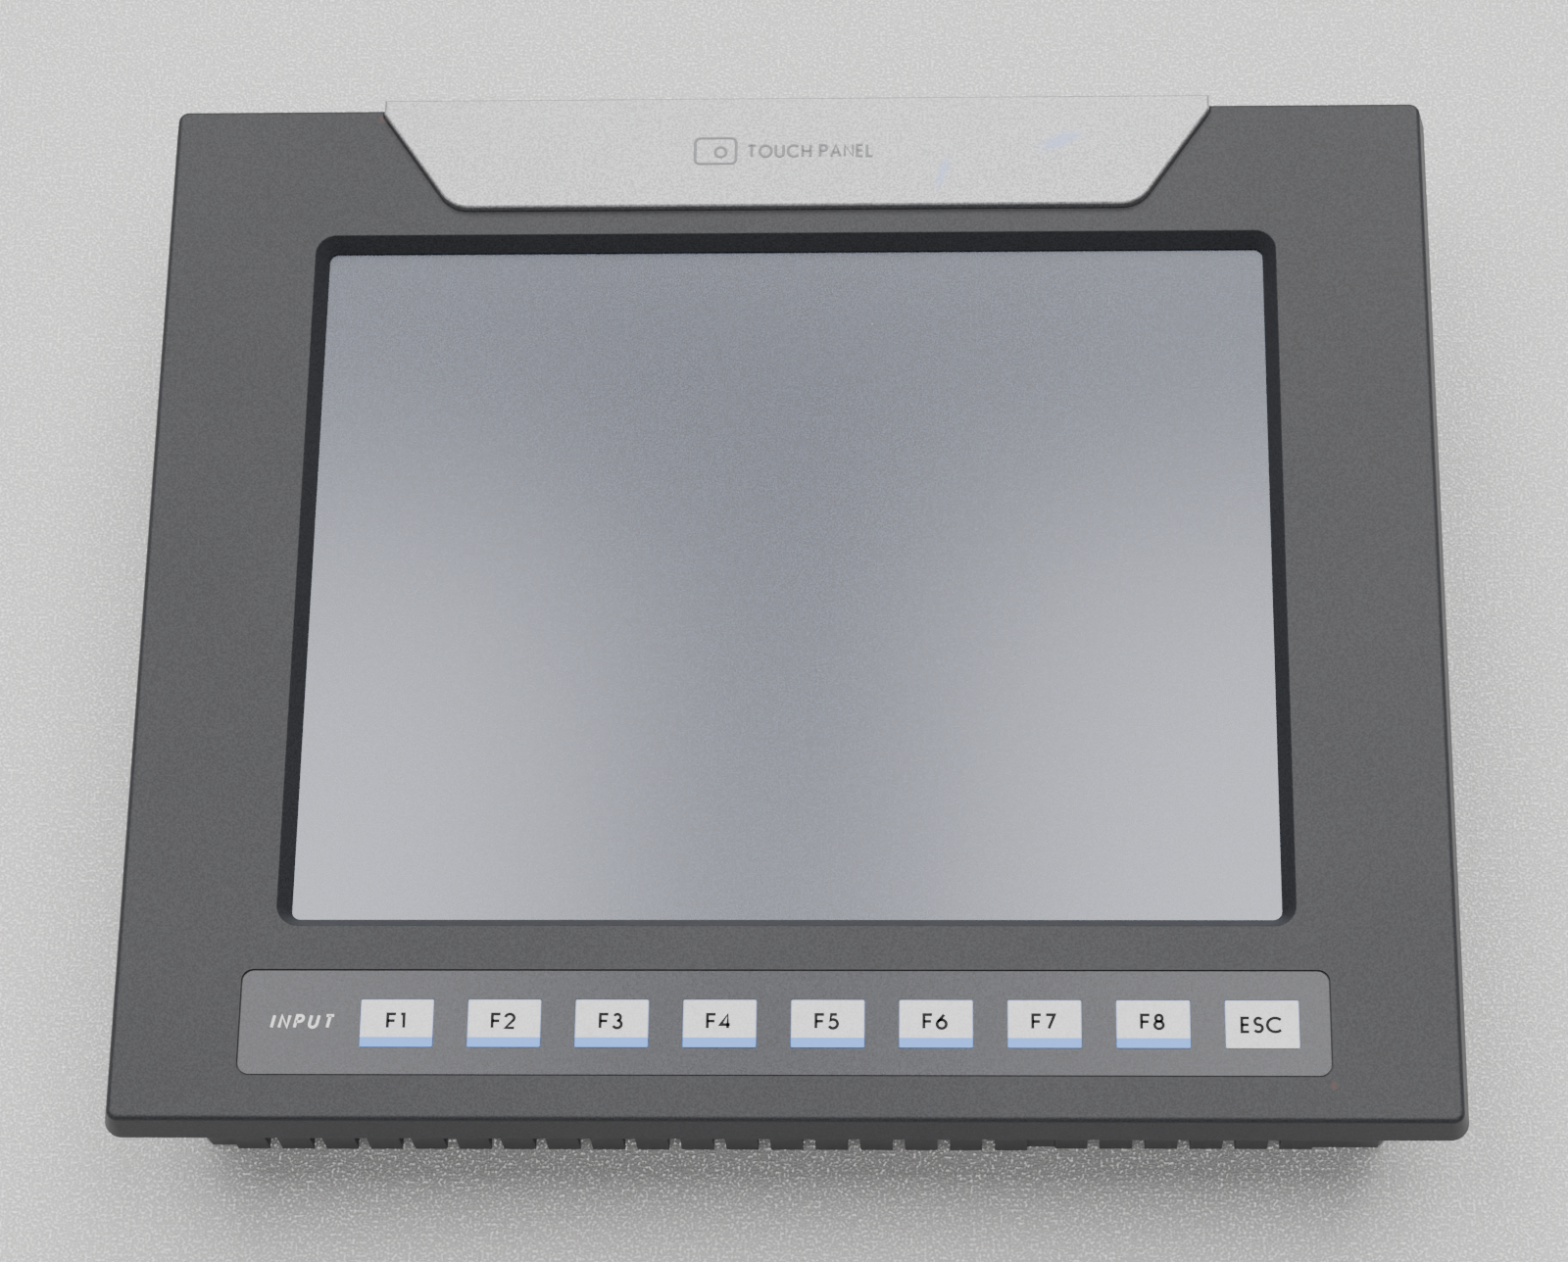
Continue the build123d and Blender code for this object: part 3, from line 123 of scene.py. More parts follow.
class Graph:
    """Builds the node tree of one material."""

    MIX_COLOURS = (6, 7)
    MIX_RESULT = 2
    SPECK_CORE = 0.5
    BLOT_CORE = 0.25

    def __init__(self, name: str) -> None:
        """Starts an empty material.

        Args:
            name: The material's name.
        """
        self.material = bpy.data.materials.new(name)
        self.material.use_nodes = True
        self.tree = self.material.node_tree
        self.tree.nodes.clear()

    def node(self, kind: str, settings: dict[str, Any] | None = None,
             values: dict[int | str, Any] | None = None) -> bpy.types.Node:
        """Adds a node.

        Args:
            kind: The node's type.
            settings: The node's own settings, which are made first.
            values: Constants or links of its input sockets, by name or place.

        Returns:
            The node.
        """
        made = self.tree.nodes.new(kind)
        for key, value in (settings or {}).items():
            setattr(made, key, value)
        for key, value in (values or {}).items():
            if isinstance(value, Value):
                self.tree.links.new(value.socket, made.inputs[key])
            else:
                made.inputs[key].default_value = value
        return made

    def out(self, node: bpy.types.Node, socket: int | str = 0) -> Value:
        """Output of a node as a value."""
        return Value(self, node.outputs[socket])

    def math(self, operation: str, a: Number, b: Number) -> Value:
        """Adds a Math node.

        Args:
            operation: The node's operation.
            a: First operand.
            b: Second operand.

        Returns:
            The result.
        """
        return self.out(self.node("ShaderNodeMath", {"operation": operation}, {0: a, 1: b}))

    def mix(self, share: Number, low: Value | Colour, high: Value | Colour) -> Value:
        """Lays one colour over another.

        Args:
            share: How much of the second colour shows, 0 to 1.
            low: Colour underneath.
            high: Colour on top.

        Returns:
            The mixed colour.
        """
        settings = {"data_type": "RGBA", "blend_type": "MIX", "clamp_factor": True}
        colours = [c if isinstance(c, Value) else (*c, 1.0) for c in (low, high)]
        values = {0: share, self.MIX_COLOURS[0]: colours[0], self.MIX_COLOURS[1]: colours[1]}
        return self.out(self.node("ShaderNodeMix", settings, values), self.MIX_RESULT)

    def between(self, share: Number, colour: Colour, tones: Flat) -> Value:
        """Runs from a darker to a lighter shade of one colour.

        Args:
            share: How far it runs, 0 to 1.
            colour: The colour.
            tones: What the colour is multiplied by at the two ends.

        Returns:
            The mixed colour.
        """
        return self.mix(share, shade(colour, tones[0]), shade(colour, tones[1]))

    def own(self) -> Value:
        """Object coordinates in metres."""
        return self.out(self.node("ShaderNodeTexCoord"), "Object")

    def place(self, scale: Point = (1.0, 1.0, 1.0)) -> Value:
        """Object coordinates, multiplied along each axis."""
        return self.out(self.node("ShaderNodeMapping", None, {"Vector": self.own(), "Scale": scale}))

    def axes(self, vector: Value | None = None) -> tuple[Value, Value, Value]:
        """The three parts of a vector, by default the Object coordinates in metres."""
        split = self.node("ShaderNodeSeparateXYZ", None, {0: vector or self.place()})
        return self.out(split, 0), self.out(split, 1), self.out(split, 2)

    def noise(self, size: float, detail: float = 2.0, vector: Value | None = None) -> Value:
        """Soft random pattern, 0 to 1.

        Args:
            size: Size of its largest features in metres.
            detail: Number of finer layers.
            vector: Coordinates, by default the Object coordinates.

        Returns:
            The pattern.
        """
        values = {"Vector": vector or self.place(), "Scale": 1.0 / size, "Detail": detail}
        return self.out(self.node("ShaderNodeTexNoise", None, values))

    def ramp(self, value: Value, low: float, high: float, start: float = 0.0, end: float = 1.0) -> Value:
        """Smooth step between two levels.

        Args:
            value: What is measured.
            low: Level where the step starts.
            high: Level where it ends.
            start: Result below the step.
            end: Result above the step.

        Returns:
            The step.
        """
        settings = {"interpolation_type": "SMOOTHSTEP"}
        values = {0: value, 1: low, 2: high, 3: start, 4: end}
        return self.out(self.node("ShaderNodeMapRange", settings, values))

    def specks(self, spacing: float, radius: float, share: float) -> Value:
        """Scattered round specks: near a random cell's middle, in a chosen share of the cells.

        Args:
            spacing: Size of the cells in metres.
            radius: Radius of a speck in metres.
            share: Share of the cells that hold one.

        Returns:
            1 on a speck, 0 beside it.
        """
        cells = self.node("ShaderNodeTexVoronoi", None, {"Vector": self.place(), "Scale": 1.0 / spacing})
        edge = radius / spacing
        near = self.ramp(self.out(cells, "Distance"), edge * self.SPECK_CORE, edge, 1.0, 0.0)
        return near * (self.axes(self.out(cells, "Color"))[0] > 1.0 - share)

    def blot(self, centre: Flat, half: Flat, turn: float = 0.0) -> Value:
        """Soft oval mark on a face that looks along Z.

        Args:
            centre: Its centre in X and Y, in metres.
            half: Its half length and half width in metres.
            turn: Its turn in degrees.

        Returns:
            1 in its middle, 0 outside it.
        """
        values = {"Vector": self.own(), "Location": (*centre, 0.0),
                  "Rotation": (0.0, 0.0, math.radians(turn)), "Scale": (*half, 1.0)}
        spot = self.node("ShaderNodeMapping", {"vector_type": "TEXTURE"}, values)
        length = self.node("ShaderNodeVectorMath", {"operation": "LENGTH"}, {0: self.out(spot)})
        ragged = self.out(length, "Value") + self.noise(min(half), 3.0) - 0.5
        return self.ramp(ragged, self.BLOT_CORE, 1.0, 1.0, 0.0)

    def finish(self, colour: Value | Colour, roughness: Number, height: Value | None = None,
               depth: float = 0.0, **constants: Any) -> bpy.types.Material:
        """Adds the surface shader.

        Args:
            colour: Base colour.
            roughness: Roughness.
            height: Height pattern of the relief, if it has one.
            depth: Depth of the relief in metres.
            constants: Other sockets of the shader, with underscores for spaces.

        Returns:
            The material.
        """
        base = colour if isinstance(colour, Value) else (*colour, 1.0)
        values = {"Base Color": base, "Roughness": roughness}
        values.update({key.replace("_", " "): value for key, value in constants.items()})
        if height is not None:
            relief = {"Height": height, "Distance": depth, "Strength": 1.0}
            values["Normal"] = self.out(self.node("ShaderNodeBump", None, relief))
        shader = self.out(self.node("ShaderNodeBsdfPrincipled", None, values))
        self.node("ShaderNodeOutputMaterial", None, {"Surface": shader})
        return self.material


# ------------------------------------------------------------------------------------------ finishes
def shade(colour: Colour, factor: float) -> Colour:
    """A colour made lighter or darker.

    Args:
        colour: The colour.
        factor: What it is multiplied by.

    Returns:
        The new colour.
    """
    return tuple(min(1.0, c * factor) for c in colour)


@dataclass(frozen=True)
class Specks:
    """Dust, grime or nicks: scattered specks of one tone."""

    spacing: float
    radius: float
    share: float
    cover: float
    colour: Colour

    def over(self, graph: Graph, colour: Value) -> Value:
        """The colour with the specks on it."""
        specks = graph.specks(self.spacing, self.radius, self.share)
        return graph.mix(specks * self.cover, colour, self.colour)


def worn(graph: Graph, pattern: Value, levels: Flat, roughness: float, spread: Flat) -> Value:
    """Roughness that follows a pattern.

    Args:
        graph: The material's graph.
        pattern: The pattern.
        levels: Levels of the pattern between which the roughness runs.
        roughness: Roughness of the finish.
        spread: What is added to it at the two levels.

    Returns:
        The roughness.
    """
    return graph.ramp(pattern, *levels, roughness + spread[0], roughness + spread[1])


@dataclass(frozen=True)
class Moulded:
    """Moulded plastic or rubber with an eroded grain, a slow drift of tone and a little dust."""

    name: str
    colour: Colour
    roughness: float = 0.5
    grain: float = 0.45 * MM
    depth: float = 0.03 * MM
    mottle: float = 0.12
    drift: float = 0.06
    specular: float = 0.4
    tones: Flat = (0.93, 1.9)
    drift_size: float = 35 * MM
    wear_size: float = 18 * MM
    wear: Flat = (-0.04, 0.05)
    dust: Specks = Specks(4 * MM, 0.16 * MM, 0.02, 0.6, (0.3, 0.29, 0.27))

    def material(self) -> bpy.types.Material:
        """Builds the material."""
        graph = Graph(self.name)
        grain = graph.noise(self.grain, 3.0)
        tone = graph.ramp(grain, 0.25, 0.75) * self.mottle + graph.noise(self.drift_size) * self.drift
        colour = self.dust.over(graph, graph.between(tone, self.colour, self.tones))
        rough = worn(graph, graph.noise(self.wear_size, 3.0), (0.3, 0.7), self.roughness, self.wear)
        return graph.finish(colour, rough, grain, self.depth, Specular_IOR_Level=self.specular)


@dataclass(frozen=True)
class BezelGrain(Moulded):
    """Grained plastic of the front frame, with two small brownish stains."""

    tones: Flat = (0.5, 1.5)
    drift_size: float = 60 * MM
    wear_size: float = 50 * MM
    wear: Flat = (-0.012, 0.012)
    dust: Specks = Specks(6 * MM, 0.2 * MM, 0.02, 0.5, (0.35, 0.34, 0.32))
    stains: tuple[Flat, ...] = ((-95.3 * MM, 118.2 * MM), (115.8 * MM, -112.8 * MM))
    stain_half: Flat = (1.5 * MM, 0.9 * MM)
    stain_turn: float = -50.0
    stain_cover: float = 0.7
    stain_colour: Colour = (0.06, 0.025, 0.02)

    def material(self) -> bpy.types.Material:
        """Builds the material."""
        graph = Graph(self.name)
        grain = graph.noise(self.grain, 3.0)
        tone = graph.ramp(grain, 0.3, 0.7) * self.mottle + graph.noise(self.drift_size, 1.0) * self.drift
        colour = graph.between(tone, self.colour, self.tones)
        for centre in self.stains:
            stain = graph.blot(centre, self.stain_half, self.stain_turn) * self.stain_cover
            colour = graph.mix(stain, colour, self.stain_colour)
        colour = self.dust.over(graph, colour)
        rough = worn(graph, graph.noise(self.wear_size, 1.0), (0.3, 0.7), self.roughness, self.wear)
        return graph.finish(colour, rough, grain, self.depth, Specular_IOR_Level=self.specular)


@dataclass(frozen=True)
class SilverPaint:
    """Satin silver paint with a fine sparkle, small dark nicks and two faint bluish rub marks."""

    name: str = "trim_silver_paint"
    colour: Colour = (0.37, 0.375, 0.39)
    roughness: float = 0.36
    metallic: float = 0.6
    fleck: float = 0.5 * MM
    depth: float = 0.04 * MM
    mottle: float = 0.85
    drift: float = 0.12
    drift_size: float = 28 * MM
    tones: Flat = (0.72, 1.35)
    wear: Flat = (-0.05, 0.06)
    nicks: Specks = Specks(7 * MM, 0.22 * MM, 0.12, 0.7, (0.12, 0.12, 0.12))
    rubs: tuple[tuple[Flat, Flat, float], ...] = (
        ((33.9 * MM, 102.7 * MM), (5.6 * MM, 1.5 * MM), 72.0),
        ((60.5 * MM, 110.5 * MM), (6.5 * MM, 2.4 * MM), 25.0),
    )
    rub_cover: float = 0.6
    rub_colour: Colour = (0.22, 0.29, 0.56)

    def material(self) -> bpy.types.Material:
        """Builds the material."""
        graph = Graph(self.name)
        fleck = graph.noise(self.fleck, 3.0)
        tone = graph.ramp(fleck, 0.38, 0.64) * self.mottle + graph.noise(self.drift_size) * self.drift
        colour = graph.between(tone, self.colour, self.tones)
        for centre, half, turn in self.rubs:
            colour = graph.mix(graph.blot(centre, half, turn) * self.rub_cover, colour, self.rub_colour)
        colour = self.nicks.over(graph, colour)
        rough = worn(graph, fleck, (0.2, 0.8), self.roughness, self.wear)
        return graph.finish(colour, rough, fleck, self.depth, Metallic=self.metallic)


@dataclass(frozen=True)
class PrintedFilm:
    """Smooth printed film with a soft texture and dark dust."""

    name: str = "overlay_film"
    colour: Colour = (0.022, 0.025, 0.034)
    roughness: float = 0.27
    grain: float = 0.38 * MM
    depth: float = 0.012 * MM
    mottle: float = 0.4
    drift: float = 0.05
    drift_size: float = 60 * MM
    tones: Flat = (0.4, 2.6)
    wear_size: float = 80 * MM
    wear: Flat = (-0.004, 0.004)
    dust: Specks = Specks(5 * MM, 0.2 * MM, 0.07, 0.7, (0.03, 0.03, 0.03))

    def material(self) -> bpy.types.Material:
        """Builds the material."""
        graph = Graph(self.name)
        grain = graph.noise(self.grain)
        tone = graph.ramp(grain, 0.3, 0.7) * self.mottle + graph.noise(self.drift_size, 1.0) * self.drift
        colour = self.dust.over(graph, graph.between(tone, self.colour, self.tones))
        rough = worn(graph, graph.noise(self.wear_size, 0.0), (0.2, 0.8), self.roughness, self.wear)
        return graph.finish(colour, rough, grain, self.depth)


@dataclass(frozen=True)
class KeyFilm:
    """Pale printed key top: a thin tinted rim, a tinted stripe along its lower edge, and grime specks."""

    name: str
    centre: Flat
    half: Flat
    striped: bool
    colour: Colour = (0.75, 0.76, 0.78)
    tint: Colour = (0.10, 0.31, 0.92)
    stripe: float = 2.15 * MM
    stripe_tone: float = 1.25
    rim: float = 0.16 * MM
    rim_cover: float = 0.5
    roughness: float = 0.4
    grain: float = 0.42 * MM
    depth: float = 0.01 * MM
    tones: Flat = (0.88, 1.1)
    smudge_size: float = 2.2 * MM
    smudge_cover: float = 0.4
    smudge_colour: Colour = (0.56, 0.5, 0.42)
    grime: Specks = Specks(2.6 * MM, 0.17 * MM, 0.16, 0.75, (0.12, 0.1, 0.08))

    def material(self) -> bpy.types.Material:
        """Builds the material."""
        graph = Graph(self.name)
        x, y, _ = graph.axes()
        grain = graph.noise(self.grain)
        colour = graph.between(graph.ramp(grain, 0.35, 0.65), self.colour, self.tones)
        smudge = graph.ramp(graph.noise(self.smudge_size, 3.0), 0.5, 0.8) * self.smudge_cover
        colour = graph.mix(smudge, colour, self.smudge_colour)
        sides = (x - self.centre[0]).abs() > self.half[0] - self.rim
        top = y > self.centre[1] + self.half[1] - self.rim
        colour = graph.mix((sides + top) * self.rim_cover, colour, self.tint)
        if self.striped:
            low = y < self.centre[1] - self.half[1] + self.stripe
            stripe = graph.mix(grain * 0.5, self.tint, shade(self.tint, self.stripe_tone))
            colour = graph.mix(low, colour, stripe)
        return graph.finish(self.grime.over(graph, colour), self.roughness, grain, self.depth)


@dataclass(frozen=True)
class Print:
    """Matt screen ink, slightly uneven."""

    name: str
    colour: Colour
    roughness: float = 0.5
    grain: float = 0.25 * MM
    depth: float = 0.004 * MM
    tones: Flat = (0.9, 1.15)
    specular: float = 0.2

    def material(self) -> bpy.types.Material:
        """Builds the material."""
        graph = Graph(self.name)
        uneven = graph.noise(self.grain, 3.0)
        colour = graph.between(graph.ramp(uneven, 0.3, 0.7), self.colour, self.tones)
        return graph.finish(colour, self.roughness, uneven, self.depth, Specular_IOR_Level=self.specular)


@dataclass(frozen=True)
class AntiGlareGlass:
    """Etched glass in front of an unlit display: cool grey, a fine sparkle and faint wipe marks."""

    name: str = "anti_glare_glass"
    colour: Colour = (0.017, 0.022, 0.038)
    roughness: float = 0.213
    index: float = 2.2
    sheen: Colour = (0.87, 0.905, 1.0)
    sparkle: float = 0.36 * MM
    depth: float = 0.0008 * MM
    tones: Flat = (0.35, 2.1)
    wipe_size: float = 70 * MM
    wipe: Flat = (-0.003, 0.004)
    dust: Specks = Specks(9 * MM, 0.25 * MM, 0.1, 0.4, (0.4, 0.4, 0.4))

    def material(self) -> bpy.types.Material:
        """Builds the material."""
        graph = Graph(self.name)
        spark = graph.noise(self.sparkle, 1.0)
        wipe = graph.noise(self.wipe_size, 1.0)
        colour = graph.between(graph.ramp(spark, 0.35, 0.65), self.colour, self.tones)
        colour = self.dust.over(graph, colour)
        rough = worn(graph, wipe, (0.2, 0.8), self.roughness, self.wipe)
        return graph.finish(colour, rough, spark, self.depth, IOR=self.index,
                            Specular_Tint=(*self.sheen, 1.0))


@dataclass(frozen=True)
class Plated:
    """Bare or plated metal with fine drawn lines and a little tarnish."""

    name: str
    colour: Colour
    roughness: float = 0.3
    lines: float = 0.12 * MM
    tarnish: float = 0.3
    tarnish_tone: float = 0.62
    cloud_size: float = 3 * MM
    stretch: float = 0.05
    depth: float = 0.0015 * MM
    wear: Flat = (-0.07, 0.1)

    def material(self) -> bpy.types.Material:
        """Builds the material."""
        graph = Graph(self.name)
        drawn = graph.noise(self.lines, 2.0, graph.place((self.stretch, 1.0, 1.0)))
        cloud = graph.ramp(graph.noise(self.cloud_size, 3.0), 0.35, 0.75)
        colour = graph.mix(cloud * self.tarnish, self.colour, shade(self.colour, self.tarnish_tone))
        rough = worn(graph, drawn, (0.25, 0.75), self.roughness, self.wear)
        return graph.finish(colour, rough, drawn, self.depth, Metallic=1.0)


@dataclass(frozen=True)
class BoardMask:
    """Circuit board: green lacquer over a fine pattern of copper runs, and tinned pads."""

    name: str = "board_green"
    colour: Colour = (0.014, 0.11, 0.045)
    run: float = 1.3 * MM
    run_width: float = 0.35
    run_cover: float = 0.5
    run_tone: float = 2.1
    run_height: float = 0.02 * MM
    patch: float = 7 * MM
    pad_spacing: float = 3.2 * MM
    pad_radius: float = 0.5 * MM
    pad_share: float = 0.3
    pad_colour: Colour = (0.62, 0.6, 0.52)
    lacquer_roughness: float = 0.32
    pad_roughness: float = 0.22

    def material(self) -> bpy.types.Material:
        """Builds the material."""
        graph = Graph(self.name)
        cells = {"Vector": graph.place(), "Scale": 1.0 / self.patch}
        patch = graph.out(graph.node("ShaderNodeTexVoronoi", {"distance": "MANHATTAN"}, cells), "Color")
        x, y, _ = graph.axes()
        way = graph.axes(patch)[0] > 0.5
        along = x * way + y * (1.0 - way)
        copper = (along * (2 * math.pi / self.run)).wave() > self.run_width
        colour = graph.mix(copper * self.run_cover, self.colour, shade(self.colour, self.run_tone))
        pads = graph.specks(self.pad_spacing, self.pad_radius, self.pad_share)
        colour = graph.mix(pads, colour, self.pad_colour)
        rough = graph.ramp(pads, 0.0, 1.0, self.lacquer_roughness, self.pad_roughness)
        return graph.finish(colour, rough, copper, self.run_height, Metallic=pads)


@dataclass(frozen=True)
class RibbonFilm:
    """Flat cable: pale film over parallel conductors."""

    name: str = "cable_film"
    colour: Colour = (0.62, 0.60, 0.54)
    pitch: float = 1.0 * MM
    wire_colour: Colour = (0.42, 0.36, 0.28)
    wire_cover: float = 0.55
    roughness: float = 0.35
    depth: float = 0.05 * MM

    def material(self) -> bpy.types.Material:
        """Builds the material."""
        graph = Graph(self.name)
        x, _, _ = graph.axes()
        wires = graph.ramp((x * (2 * math.pi / self.pitch)).wave(), -0.4, 0.4)
        colour = graph.mix(wires * self.wire_cover, self.colour, self.wire_colour)
        return graph.finish(colour, self.roughness, wires, self.depth)


@dataclass(frozen=True)
class LabelFilm:
    """Satin label with a ruled but empty form printed on it."""

    name: str
    centre: Flat
    half: Flat
    colour: Colour = (0.52, 0.53, 0.54)
    tone: float = 1.2
    ink: Colour = (0.05, 0.05, 0.055)
    margin: float = 2.0 * MM
    line: float = 0.18 * MM
    rows: float = 6.4 * MM
    roughness: float = 0.33
    metallic: float = 0.3
    grain: float = 1.5 * MM
    depth: float = 0.006 * MM

    def material(self) -> bpy.types.Material:
        """Builds the material."""
        graph = Graph(self.name)
        x, y, _ = graph.axes()
        across, up = (x - self.centre[0]).abs(), (y - self.centre[1]).abs()
        inside = (across < self.half[0] - self.margin) * (up < self.half[1] - self.margin)
        deeper = (across < self.half[0] - self.margin - 2 * self.line) * (
            up < self.half[1] - self.margin - 2 * self.line)
        ripple = ((y - self.centre[1]) * (math.pi / self.rows)).wave().abs()
        rules = ripple < self.line * math.pi / self.rows
        inked = inside * (1.0 - deeper) + deeper * rules
        uneven = graph.noise(self.grain, 3.0)
        colour = graph.mix(uneven * 0.2, self.colour, shade(self.colour, self.tone))
        colour = graph.mix(inked, colour, self.ink)
        return graph.finish(colour, self.roughness, uneven, self.depth, Metallic=self.metallic)


@dataclass(frozen=True)
class FloorSheet:
    """Pale sheet with a soft pebbled relief, painted shade in its hollows, painted highlights on its tops,
    and a painted glow with brighter painted glints that lifts its shadows.
    """

    name: str = "floor_sheet"
    colour: Colour = (0.86, 0.852, 0.85)
    lit_top_colour: Colour = (1.0, 1.0, 1.0)
    shaded_hollow_tone: float = 0.7
    pebble: float = 0.6 * MM
    depth: float = 0.7 * MM
    roughness: float = 0.35
    specular: float = 0.8
    painted_glow: float = 0.6
    painted_glow_tone: float = 0.13
    painted_glint_colour: Colour = (1.0, 0.99, 0.98)

    def material(self) -> bpy.types.Material:
        """Builds the material."""
        graph = Graph(self.name)
        pebble = graph.noise(self.pebble)
        # Painted shade in the pebble hollows and a painted highlight on the pebble tops, following the
        # relief's own pattern.
        shaded_hollow = shade(self.colour, self.shaded_hollow_tone)
        colour = graph.mix(graph.ramp(pebble, 0.5, 0.62), shaded_hollow, self.lit_top_colour)
        # Painted light: the whole floor glows, which lifts its shadows and lights the panel from below, and
        # painted glints on the pebble tops glow brighter.
        dim_glow = shade(self.colour, self.painted_glow_tone)
        painted_glint = graph.mix(graph.ramp(pebble, 0.59, 0.68), dim_glow, self.painted_glint_colour)
        return graph.finish(colour, self.roughness, pebble, self.depth, Specular_IOR_Level=self.specular,
                            Emission_Color=painted_glint, Emission_Strength=self.painted_glow)


# ------------------------------------------------------------------------------------------- meshes
@dataclass
class Shell:
    """Points and four-sided faces of a closed surface."""

    points: np.ndarray
    faces: np.ndarray

    @staticmethod
    def joined(shells: list["Shell"]) -> "Shell":
        """Several shells as one.

        Args:
            shells: The shells.

        Returns:
            One shell that holds them all.
        """
        counts = np.cumsum([0] + [len(s.points) for s in shells[:-1]])
        faces = [s.faces + start for s, start in zip(shells, counts)]
        return Shell(np.vstack([s.points for s in shells]), np.vstack(faces))

    def piece(self, name: str, material: bpy.types.Material, body: str, slot: str) -> bpy.types.Object:
        """Makes a piece that rides on a body.

        Args:
            name: The piece's name.
            material: Its material.
            body: The CAD body that it moves with.
            slot: The record's material slot of the piece; not used.

        Returns:
            The piece.
        """
        mesh = bpy.data.meshes.new(name)
        mesh.from_pydata(self.points.tolist(), [], self.faces.tolist())
        mesh.update()
        mesh.materials.append(material)
        made = bpy.data.objects.new(name, mesh)
        bpy.context.scene.collection.objects.link(made)
        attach(made, body)
        LOG.info("%s rides on %s, %d faces", name, body, len(self.faces))
        return made


def carried(profile: np.ndarray, path: np.ndarray, stop: Stop) -> Shell:
    """Closed profile carried along a flat path.

    Point (i, j) = path(i) + side(i) * across(j), at height(j), where side is the path's left normal,
    lengthened at a corner so that the edges of both runs meet.

    Args:
        profile: Rows of (across, height), anticlockwise as seen against the path, an even number of them.
        path: Rows of (x, y).
        stop: Whether the path closes on itself or has two ends.

    Returns:
        The shell.
    """
    count, width = len(path), len(profile)
    closed = stop is Stop.CLOSED
    runs = np.roll(path, -1, axis=0) - path
    if not closed:
        runs[-1] = runs[-2]
    runs /= np.linalg.norm(runs, axis=1)[:, None]
    before = np.roll(runs, 1, axis=0)
    if not closed:
        before[0] = runs[0]
    left_after = np.stack([-runs[:, 1], runs[:, 0]], axis=1)
    left_before = np.stack([-before[:, 1], before[:, 0]], axis=1)
    open_share = np.maximum(1.0 + (left_after * left_before).sum(axis=1), MITRE_LIMIT)
    side = (left_after + left_before) / open_share[:, None]
    flat = path[:, None, :] + side[:, None, :] * profile[None, :, :1]
    height = np.broadcast_to(profile[None, :, 1:], (count, width, 1))
    points = np.concatenate([flat, height], axis=2).reshape(-1, 3)
    i, j = np.meshgrid(np.arange(count if closed else count - 1), np.arange(width), indexing="ij")
    following, beside = (i + 1) % count, (j + 1) % width
    corners = (i * width + j, i * width + beside, following * width + beside, following * width + j)
    faces = np.stack(corners, axis=-1).reshape(-1, 4)
    if not closed:
        k = np.arange(width // 2 - 1)
        cap = np.stack([k, k + 1, width - 2 - k, width - 1 - k], axis=1)
        faces = np.vstack([faces, cap[:, ::-1], cap + (count - 1) * width])
    return Shell(points, faces)


def arc(centre: Flat, radii: Flat, start: float, end: float,
        count: int = 17) -> np.ndarray:
    """Points on an oval: centre + (radius_x * cos angle, radius_y * sin angle).

    Args:
        centre: Its centre.
        radii: Its radii along X and Y.
        start: Angle of the first point in degrees.
        end: Angle of the last point in degrees.
        count: Number of points.

    Returns:
        Rows of (x, y).
    """
    angle = np.radians(np.linspace(start, end, count))
    return np.stack([centre[0] + radii[0] * np.cos(angle), centre[1] + radii[1] * np.sin(angle)], axis=1)


def run(*points: Flat) -> np.ndarray:
    """Straight runs through the given points."""
    return np.array(points, float)


def oval(centre: Flat, radii: Flat, count: int = 28) -> np.ndarray:
    """A whole oval, without its last point, which is its first."""
    return arc(centre, radii, 0.0, 360.0, count + 1)[:-1]


